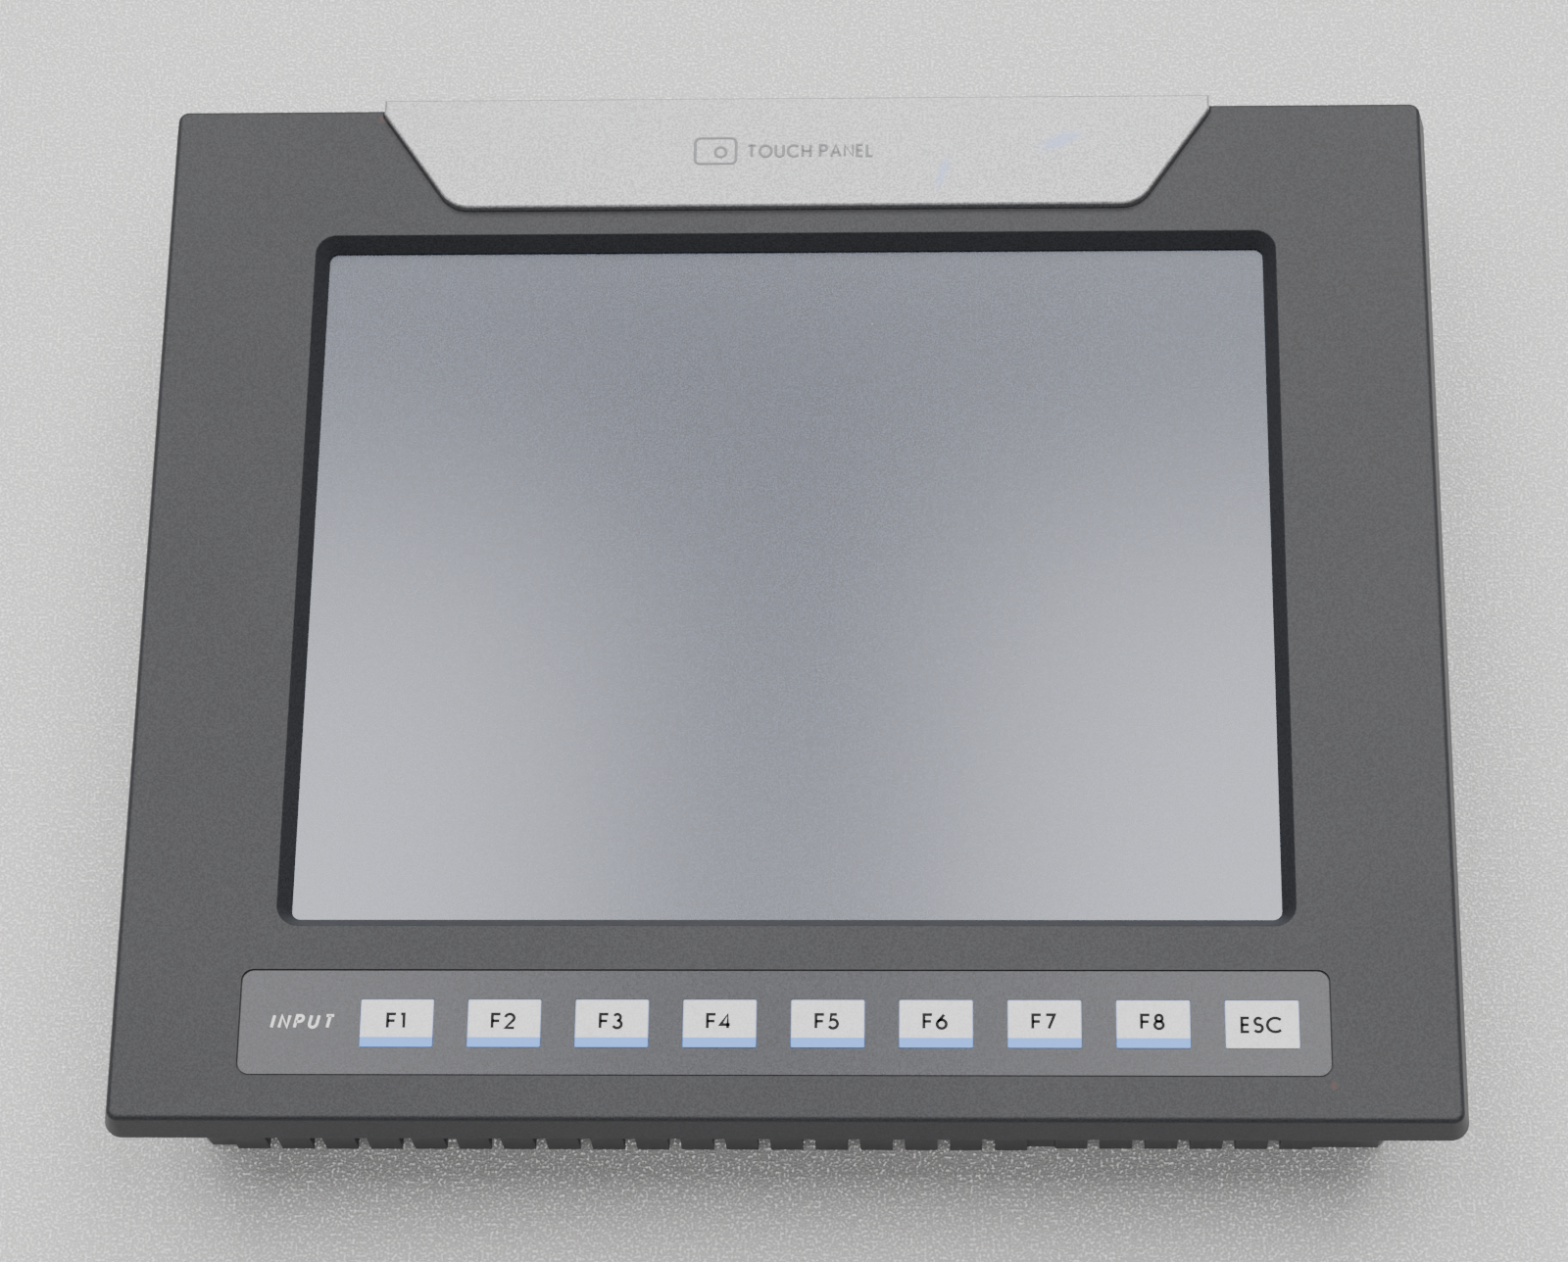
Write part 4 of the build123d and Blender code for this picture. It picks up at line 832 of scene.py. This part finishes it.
class StrokeFont:
    """Plain upright letters and figures, drawn as centre lines in a cap height of 1."""

    SPACE = 0.42

    def __init__(self) -> None:
        """Draws each sign as its width and its paths."""
        one, ends = Stop.OPEN, Stop.CLOSED
        self.signs: dict[str, tuple[float, list[tuple[np.ndarray, Stop]]]] = {
            "F": (0.50, [(run((0.5, 1), (0, 1), (0, 0)), one), (run((0, 0.51), (0.44, 0.51)), one)]),
            "E": (0.44, [(run((0.44, 1), (0, 1), (0, 0), (0.44, 0)), one),
                         (run((0, 0.51), (0.41, 0.51)), one)]),
            "S": (0.50, [(np.vstack([arc((0.26, 0.76), (0.21, 0.24), 30, 262),
                                     arc((0.25, 0.265), (0.25, 0.265), 85, -150)]), one)]),
            "C": (0.82, [(arc((0.48, 0.5), (0.48, 0.5), 45, 315, 25), one)]),
            "T": (0.60, [(run((0, 1), (0.6, 1)), one), (run((0.3, 1), (0.3, 0)), one)]),
            "O": (0.92, [(oval((0.46, 0.5), (0.46, 0.5)), ends)]),
            "U": (0.62, [(np.vstack([run((0, 1)), arc((0.31, 0.31), (0.31, 0.31), 180, 360),
                                     run((0.62, 1))]), one)]),
            "H": (0.62, [(run((0, 0), (0, 1)), one), (run((0.62, 0), (0.62, 1)), one),
                         (run((0, 0.5), (0.62, 0.5)), one)]),
            "P": (0.54, [(np.vstack([run((0, 0), (0, 1)), arc((0.28, 0.745), (0.26, 0.255), 90, -90),
                                     run((0, 0.49))]), one)]),
            "A": (0.72, [(run((0, 0), (0.36, 1), (0.72, 0)), one), (run((0.13, 0.35), (0.59, 0.35)), one)]),
            "N": (0.64, [(run((0, 0), (0, 1), (0.64, 0), (0.64, 1)), one)]),
            "L": (0.46, [(run((0, 1), (0, 0), (0.46, 0)), one)]),
            "I": (0.0, [(run((0, 0), (0, 1)), one)]),
            "1": (0.20, [(run((0, 1), (0.2, 1), (0.2, 0)), one)]),
            "2": (0.54, [(np.vstack([arc((0.27, 0.72), (0.27, 0.28), 172, -38),
                                     run((0.02, 0), (0.56, 0))]), one)]),
            "3": (0.50, [(np.vstack([arc((0.24, 0.77), (0.20, 0.23), 155, -88),
                                     arc((0.24, 0.27), (0.26, 0.27), 88, -158)]), one)]),
            "4": (0.58, [(run((0.44, 0), (0.44, 1), (0, 0.26), (0.58, 0.26)), one)]),
            "5": (0.52, [(np.vstack([run((0.48, 1), (0.14, 1), (0.06, 0.55)),
                                     arc((0.24, 0.32), (0.28, 0.32), 118, -152)]), one)]),
            "6": (0.56, [(oval((0.28, 0.31), (0.28, 0.31)), ends), (run((0.43, 1), (0.05, 0.47)), one)]),
            "7": (0.52, [(run((0, 1), (0.52, 1), (0.17, 0)), one)]),
            "8": (0.52, [(oval((0.26, 0.76), (0.20, 0.24)), ends),
                         (oval((0.26, 0.27), (0.26, 0.27)), ends)]),
        }

    def paths(self, text: str, height: float, spacing: float) -> tuple[list[tuple[np.ndarray, Stop]], float]:
        """Centre lines of a line of text that starts at the origin.

        Args:
            text: The text, whose signs are all drawn above.
            height: Cap height.
            spacing: Gap between signs as a share of the cap height.

        Returns:
            The paths, and the length of the line.
        """
        made, at = [], 0.0
        for sign in text:
            if sign == " ":
                at += self.SPACE
                continue
            width, strokes = self.signs[sign]
            made += [((path + (at, 0.0)) * height, stop) for path, stop in strokes]
            at += width + spacing
        return made, (at - spacing) * height


@dataclass
class Lettering:
    """A line of text as raised strokes on a face that looks along Z."""

    text: str
    centre: Flat
    level: float
    height: float
    stroke: float
    rise: float = 0.03 * MM
    sink: float = 0.02 * MM
    bevel: float = 0.0
    spacing: float = 0.22
    slant: float = 0.0
    stretch: float = 1.0
    font: StrokeFont = field(default_factory=StrokeFont)

    def profile(self) -> np.ndarray:
        """Section of a stroke, from its foot below the face to its top, with bevelled shoulders."""
        half, top = self.stroke / 2, self.level + self.rise
        foot = self.level - self.sink
        shoulder = top - self.bevel
        return np.array([
            (-half, foot), (half, foot), (half, shoulder), (half - self.bevel, top),
            (self.bevel - half, top), (-half, shoulder),
        ])

    def shell(self) -> Shell:
        """The whole line of text, centred on its place."""
        paths, length = self.font.paths(self.text, self.height, self.spacing)
        start = np.array([self.centre[0] - self.stretch * length / 2, self.centre[1] - self.height / 2])
        lean = np.array([[self.stretch, 0.0], [self.slant, 1.0]])
        return Shell.joined([carried(self.profile(), path @ lean + start, stop) for path, stop in paths])


def front_face(node: str) -> tuple[Vector, Vector]:
    """Box of the points of a CAD node that lie on its front face.

    Args:
        node: The node's name.

    Returns:
        Its lowest and highest corners.
    """
    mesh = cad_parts[node].data
    points = np.empty(len(mesh.vertices) * 3)
    mesh.vertices.foreach_get("co", points)
    points = points.reshape(-1, 3)
    front = points[points[:, 2] > points[:, 2].max() - FACE_TOLERANCE]
    return Vector(front.min(axis=0)), Vector(front.max(axis=0))


def middle_and_half(low: Vector, high: Vector) -> tuple[Flat, Flat]:
    """Centre of a box and half of its size, in X and Y.

    Args:
        low: The box's lowest corner.
        high: Its highest corner.

    Returns:
        The centre and the half size.
    """
    return ((low.x + high.x) / 2, (low.y + high.y) / 2), ((high.x - low.x) / 2, (high.y - low.y) / 2)


# ---------------------------------------------------------------------------------------- sub-assemblies
class SubAssembly:
    """Common work of the classes below: dressing CAD nodes."""

    def dress(self, material: bpy.types.Material, *nodes: str) -> None:
        """Gives CAD nodes a finish.

        Args:
            material: The finish.
            nodes: The nodes' names.
        """
        for name in nodes:
            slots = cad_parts[name].data.materials
            slots.clear()
            slots.append(material)
            LOG.info("%s dressed in %s", name, material.name)


@dataclass
class FrontFrame(SubAssembly):
    """Front bezel and trim plate, with the plate's raised pictogram and words, which are drawn darker than
    the plate as painted shade.
    """

    words: str = "TOUCH PANEL"
    words_at: Flat = (3.6 * MM, 108.3 * MM)
    words_height: float = 2.9 * MM
    words_stroke: float = 0.66 * MM
    words_spacing: float = 0.34
    relief: float = 0.16 * MM
    relief_bevel: float = 0.8
    sign_at: Flat = (-18.1 * MM, 108.4 * MM)
    sign_size: Flat = (9.4 * MM, 6.6 * MM)
    sign_corner: float = 1.2 * MM
    ring_shift: Flat = (0.25, -0.1)
    ring_radius: float = 0.38
    bezel: Moulded = BezelGrain("bezel_plastic", (0.0168, 0.0182, 0.0218), 0.52, 0.42 * MM, 0.045 * MM,
                                mottle=0.9, drift=0.03)
    paint: SilverPaint = SilverPaint()
    # Silver paint like the plate's, drawn darker: painted shade of the raised strokes.
    shaded_relief_paint: Print = Print("trim_relief_painted_shade", (0.20, 0.205, 0.215), 0.4)

    def sign_paths(self) -> list[tuple[np.ndarray, Stop]]:
        """Outline of a screen with rounded corners, and a ring where a finger touches it."""
        x, y = self.sign_at
        half_x, half_y, radius = self.sign_size[0] / 2, self.sign_size[1] / 2, self.sign_corner
        corners = [(1, 1, 0), (-1, 1, 90), (-1, -1, 180), (1, -1, 270)]
        outline = np.vstack([
            arc((x + sx * (half_x - radius), y + sy * (half_y - radius)), (radius, radius),
                turn, turn + 90, 7)
            for sx, sy, turn in corners
        ])
        middle = (x + half_x * self.ring_shift[0], y + half_y * self.ring_shift[1])
        ring = oval(middle, (half_y * self.ring_radius, half_y * self.ring_radius))
        return [(outline, Stop.CLOSED), (ring, Stop.CLOSED)]

    def build(self) -> None:
        """Dresses the frame and raises the pictogram and the words on the plate, drawn darker as painted
        shade.
        """
        self.dress(self.bezel.material(), "front_bezel")
        paint = self.paint.material()
        self.dress(paint, "trim_plate")
        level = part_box("trim_plate")[1].z
        words = Lettering(self.words, self.words_at, level, self.words_height, self.words_stroke,
                          rise=self.relief, bevel=self.relief * self.relief_bevel,
                          spacing=self.words_spacing)
        # The raised strokes take the darker paint, which is painted shade.
        relief = self.shaded_relief_paint.material()
        words.shell().piece("trim_words", relief, PANEL, "trim_silver")
        sign = Shell.joined([carried(words.profile(), path, stop) for path, stop in self.sign_paths()])
        sign.piece("trim_pictogram", relief, PANEL, "trim_silver")


@dataclass
class KeyRow(SubAssembly):
    """Printed overlay, nine keys with their legends, and the board, domes and cable behind them."""

    function_keys: int = 8
    legend_height: float = 3.05 * MM
    legend_stroke: float = 0.66 * MM
    legend_rise: float = 0.5 * MM
    legend_spacing: float = 0.3
    legend_stretch: float = 1.14
    legend_shift: float = -0.2 * MM
    escape_rise: float = -0.15 * MM
    marking: str = "INPUT"
    marking_at: Flat = (-102.3 * MM, -99.0 * MM)
    marking_height: float = 2.6 * MM
    marking_stroke: float = 0.58 * MM
    marking_spacing: float = 0.62
    marking_slant: float = 0.22
    film: PrintedFilm = PrintedFilm()
    ink: Print = Print("legend_ink", (0.005, 0.005, 0.006), 0.6)
    white_ink: Print = Print("marking_ink", (0.9, 0.9, 0.9))

    def build_key(self, name: str, text: str, striped: bool, ink: bpy.types.Material) -> None:
        """Dresses one key and prints its legend.

        Args:
            name: The key's node and body.
            text: Its legend.
            striped: Whether its lower edge has the tinted stripe.
            ink: The legend's finish.
        """
        low, high = front_face(name)
        centre, half = middle_and_half(low, high)
        self.dress(KeyFilm(name + "_film", centre, half, striped).material(), name)
        rise = self.legend_rise if striped else self.escape_rise
        place = (centre[0] + self.legend_shift, centre[1] + rise)
        legend = Lettering(text, place, high.z, self.legend_height, self.legend_stroke,
                           spacing=self.legend_spacing, stretch=self.legend_stretch)
        legend.shell().piece(name + "_legend", ink, name, "connector_black")

    def build(self) -> None:
        """Dresses the overlay and the parts behind it, and builds each key."""
        self.dress(self.film.material(), "keypad_overlay")
        ink = self.ink.material()
        for number in range(1, self.function_keys + 1):
            self.build_key(f"key_f{number}", f"F{number}", True, ink)
        self.build_key("key_esc", "ESC", False, ink)
        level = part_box("keypad_overlay")[1].z
        marking = Lettering(self.marking, self.marking_at, level, self.marking_height, self.marking_stroke,
                            spacing=self.marking_spacing, slant=self.marking_slant)
        marking.shell().piece("overlay_marking", self.white_ink.material(), PANEL, "key_white")
        self.dress(BoardMask("key_board_green").material(), "keypad_board")
        self.dress(Plated("dome_steel", (0.72, 0.71, 0.68), 0.22).material(), "snap_domes")
        self.dress(RibbonFilm("key_cable_film").material(), "keypad_ribbon")


@dataclass
class Display(SubAssembly):
    """Touch glass, its foam gaskets, and the display module in its steel tray."""

    glass: AntiGlareGlass = AntiGlareGlass()
    foam: Moulded = Moulded("foam_black", (0.018, 0.018, 0.019), 0.85, 0.5 * MM, 0.12 * MM)
    cell: Moulded = Moulded("display_cell", (0.03, 0.032, 0.038), 0.15, 0.2 * MM, 0.001 * MM)
    guide: Moulded = Moulded("light_guide_white", (0.66, 0.66, 0.65), 0.4, 0.6 * MM, 0.006 * MM,
                             mottle=0.05, drift=0.04)
    tray: Plated = Plated("galvanised_sheet", (0.52, 0.53, 0.53), 0.36, 0.5 * MM, 0.5)

    def build(self) -> None:
        """Dresses the display's nodes."""
        self.dress(self.glass.material(), "touch_glass")
        self.dress(self.foam.material(), "touch_gasket", "display_foam")
        self.dress(self.cell.material(), "lcd_glass")
        self.dress(self.guide.material(), "backlight_unit")
        self.dress(self.tray.material(), "lcd_frame", "display_chassis")
        self.dress(BoardMask("driver_board_green").material(), "backlight_driver")
        self.dress(RibbonFilm("display_cable_film").material(), "display_cable")


@dataclass
class RearShell(SubAssembly):
    """Rear housing with its covers, label, gasket, battery and screws."""

    plastic: Moulded = Moulded("housing_plastic", (0.082, 0.081, 0.084), 0.56, 0.6 * MM, 0.05 * MM,
                               mottle=0.14, drift=0.07)
    cover: Moulded = Moulded("cover_plastic", (0.08, 0.08, 0.083), 0.5, 0.5 * MM, 0.04 * MM,
                             mottle=0.14, drift=0.07)
    rubber: Moulded = Moulded("gasket_rubber", (0.022, 0.022, 0.023), 0.7, 0.8 * MM, 0.03 * MM)
    holder: Moulded = Moulded("battery_holder_black", (0.024, 0.024, 0.025), 0.42, 0.4 * MM, 0.01 * MM)
    cell: Plated = Plated("battery_steel", (0.7, 0.7, 0.69), 0.2, 0.1 * MM, 0.15)
    screws: Plated = Plated("screw_zinc", (0.6, 0.6, 0.58), 0.3, 0.15 * MM, 0.35)
    brass: Plated = Plated("turned_brass", (0.72, 0.5, 0.2), 0.28, 0.1 * MM, 0.3)

    def build(self) -> None:
        """Dresses the housing's nodes."""
        self.dress(self.plastic.material(), "rear_housing")
        self.dress(self.cover.material(), "battery_door", "module_cover")
        self.dress(self.rubber.material(), "panel_gasket")
        self.dress(self.holder.material(), "battery_holder")
        self.dress(self.cell.material(), "battery_cell")
        screws = self.screws.material()
        self.dress(screws, "housing_screws", "chassis_screws", "keypad_screws", "board_screws")
        self.dress(self.brass.material(), "earth_insert", "board_standoffs")
        centre, half = middle_and_half(*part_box("rating_label"))
        self.dress(LabelFilm("label_film", centre, half).material(), "rating_label")


@dataclass
class Electronics(SubAssembly):
    """Main board with its chip, heat sink and capacitors, and every connector in the bay."""

    terminal: Moulded = Moulded("terminal_green", (0.012, 0.22, 0.06), 0.38, 0.5 * MM, 0.006 * MM,
                                mottle=0.06, drift=0.05)
    black: Moulded = Moulded("connector_black", (0.018, 0.018, 0.02), 0.42, 0.4 * MM, 0.01 * MM)
    chip: Moulded = Moulded("chip_resin", (0.02, 0.02, 0.021), 0.55, 0.3 * MM, 0.012 * MM)
    tin: Plated = Plated("connector_tin", (0.56, 0.555, 0.53), 0.34, 0.3 * MM, 0.2)
    jack_nuts: Plated = Plated("nut_zinc", (0.62, 0.62, 0.6), 0.27, 0.1 * MM, 0.25)
    sink: Plated = Plated("anodised_fins", (0.16, 0.16, 0.17), 0.4, 0.15 * MM, 0.2)
    can: Plated = Plated("capacitor_can", (0.3, 0.32, 0.36), 0.3, 0.3 * MM, 0.2)

    def build(self) -> None:
        """Dresses the electronic nodes."""
        self.dress(BoardMask("main_board_green").material(), "main_board")
        self.dress(self.chip.material(), "processor_chip")
        self.dress(self.sink.material(), "heat_sink")
        self.dress(self.can.material(), "capacitors")
        terminal = self.terminal.material()
        self.dress(terminal, "power_header", "power_plug", "fieldbus_header", "fieldbus_plug")
        self.dress(self.black.material(), "ethernet_jack", "module_header")
        self.dress(self.tin.material(), "serial_port", "usb_port", "card_socket")
        nuts = self.jack_nuts.material()
        self.dress(nuts, "serial_jack_nuts", "power_plug_screws", "fieldbus_plug_screws")


@dataclass(frozen=True)
class Lamp:
    """Soft rectangular lamp: its centre and aim in metres, its size in metres, its power in watts."""

    name: str
    place: Point
    aim: Point
    size: Flat
    power: float
    colour: Colour

    def add(self) -> None:
        """Puts the lamp into the scene."""
        lamp = bpy.data.lights.new(self.name, "AREA")
        lamp.shape = "RECTANGLE"
        lamp.size, lamp.size_y = self.size
        lamp.energy = self.power
        lamp.color = self.colour
        made = bpy.data.objects.new(self.name, lamp)
        bpy.context.scene.collection.objects.link(made)
        made.location = self.place
        made.rotation_mode = "QUATERNION"
        made.rotation_quaternion = (Vector(self.aim) - Vector(self.place)).to_track_quat("-Z", "Y")


@dataclass
class Studio:
    """Pale floor, soft lights and the camera."""

    floor_half: float = 4.0
    floor_level: float = -0.05 * MM
    floor_cells: int = 8
    eye: Point = (0.04011, -0.37988, 0.96166)
    aim: Point = (-0.00088, -0.00965, 0.0573)
    roll: float = -5.975
    lens: float = 102.49
    sensor: float = 36.0
    sky: Colour = (0.99, 0.98, 0.975)
    sky_strength: float = 0.5
    sheet: FloorSheet = FloorSheet()
    lamps: tuple[Lamp, ...] = (
        Lamp("back_lamp", (0.1, 1.68, 1.75), (0.0, 0.0, 0.0), (2.4, 1.0), 50.0, (1.0, 0.99, 0.97)),
        Lamp("left_lamp", (-0.69, 0.235, 1.9), (-0.69, 0.235, 0.0), (0.96, 1.17), 22.5, (1.0, 0.98, 0.98)),
        Lamp("right_lamp", (0.525, 0.235, 1.9), (0.525, 0.235, 0.0), (0.97, 1.17), 23.5, (1.0, 0.98, 0.98)),
    )

    def add_floor(self) -> None:
        """Flat grid: (x, y) each run from -half to +half, at one level."""
        cells, corners = self.floor_cells, self.floor_cells + 1
        line = np.linspace(-self.floor_half, self.floor_half, corners)
        x, y = np.meshgrid(line, line, indexing="ij")
        points = np.stack([x, y, np.full_like(x, self.floor_level)], axis=-1).reshape(-1, 3)
        i, j = np.meshgrid(np.arange(cells), np.arange(cells), indexing="ij")
        start = i * corners + j
        beyond = start + corners
        faces = np.stack([start, beyond, beyond + 1, start + 1], axis=-1).reshape(-1, 4)
        mesh = bpy.data.meshes.new("floor")
        mesh.from_pydata(points.tolist(), [], faces.tolist())
        mesh.materials.append(self.sheet.material())
        floor = bpy.data.objects.new("floor", mesh)
        bpy.context.scene.collection.objects.link(floor)

    def add_sky(self) -> None:
        """Even pale light from all round."""
        world = bpy.data.worlds.new("sky")
        world.use_nodes = True
        back = world.node_tree.nodes["Background"]
        back.inputs["Color"].default_value = (*self.sky, 1.0)
        back.inputs["Strength"].default_value = self.sky_strength
        bpy.context.scene.world = world

    def add_camera(self) -> None:
        """Camera in front of the lower edge, looking down at the display."""
        lens = bpy.data.cameras.new("camera")
        lens.lens, lens.sensor_width = self.lens, self.sensor
        camera = bpy.data.objects.new("camera", lens)
        bpy.context.scene.collection.objects.link(camera)
        camera.location = self.eye
        camera.rotation_mode = "QUATERNION"
        level = (Vector(self.aim) - Vector(self.eye)).to_track_quat("-Z", "Y")
        camera.rotation_quaternion = level @ Quaternion((0.0, 0.0, 1.0), math.radians(self.roll))
        bpy.context.scene.camera = camera

    def build(self) -> None:
        """Sets up the studio."""
        self.add_floor()
        self.add_sky()
        for lamp in self.lamps:
            lamp.add()
        self.add_camera()
        LOG.info("studio ready")


def main() -> None:
    """Builds every sub-assembly and the studio."""
    logging.basicConfig(level=logging.INFO, format="%(name)s: %(message)s")
    for part in (FrontFrame(), KeyRow(), Display(), RearShell(), Electronics(), Studio()):
        part.build()


if __name__ == "__main__":
    main()
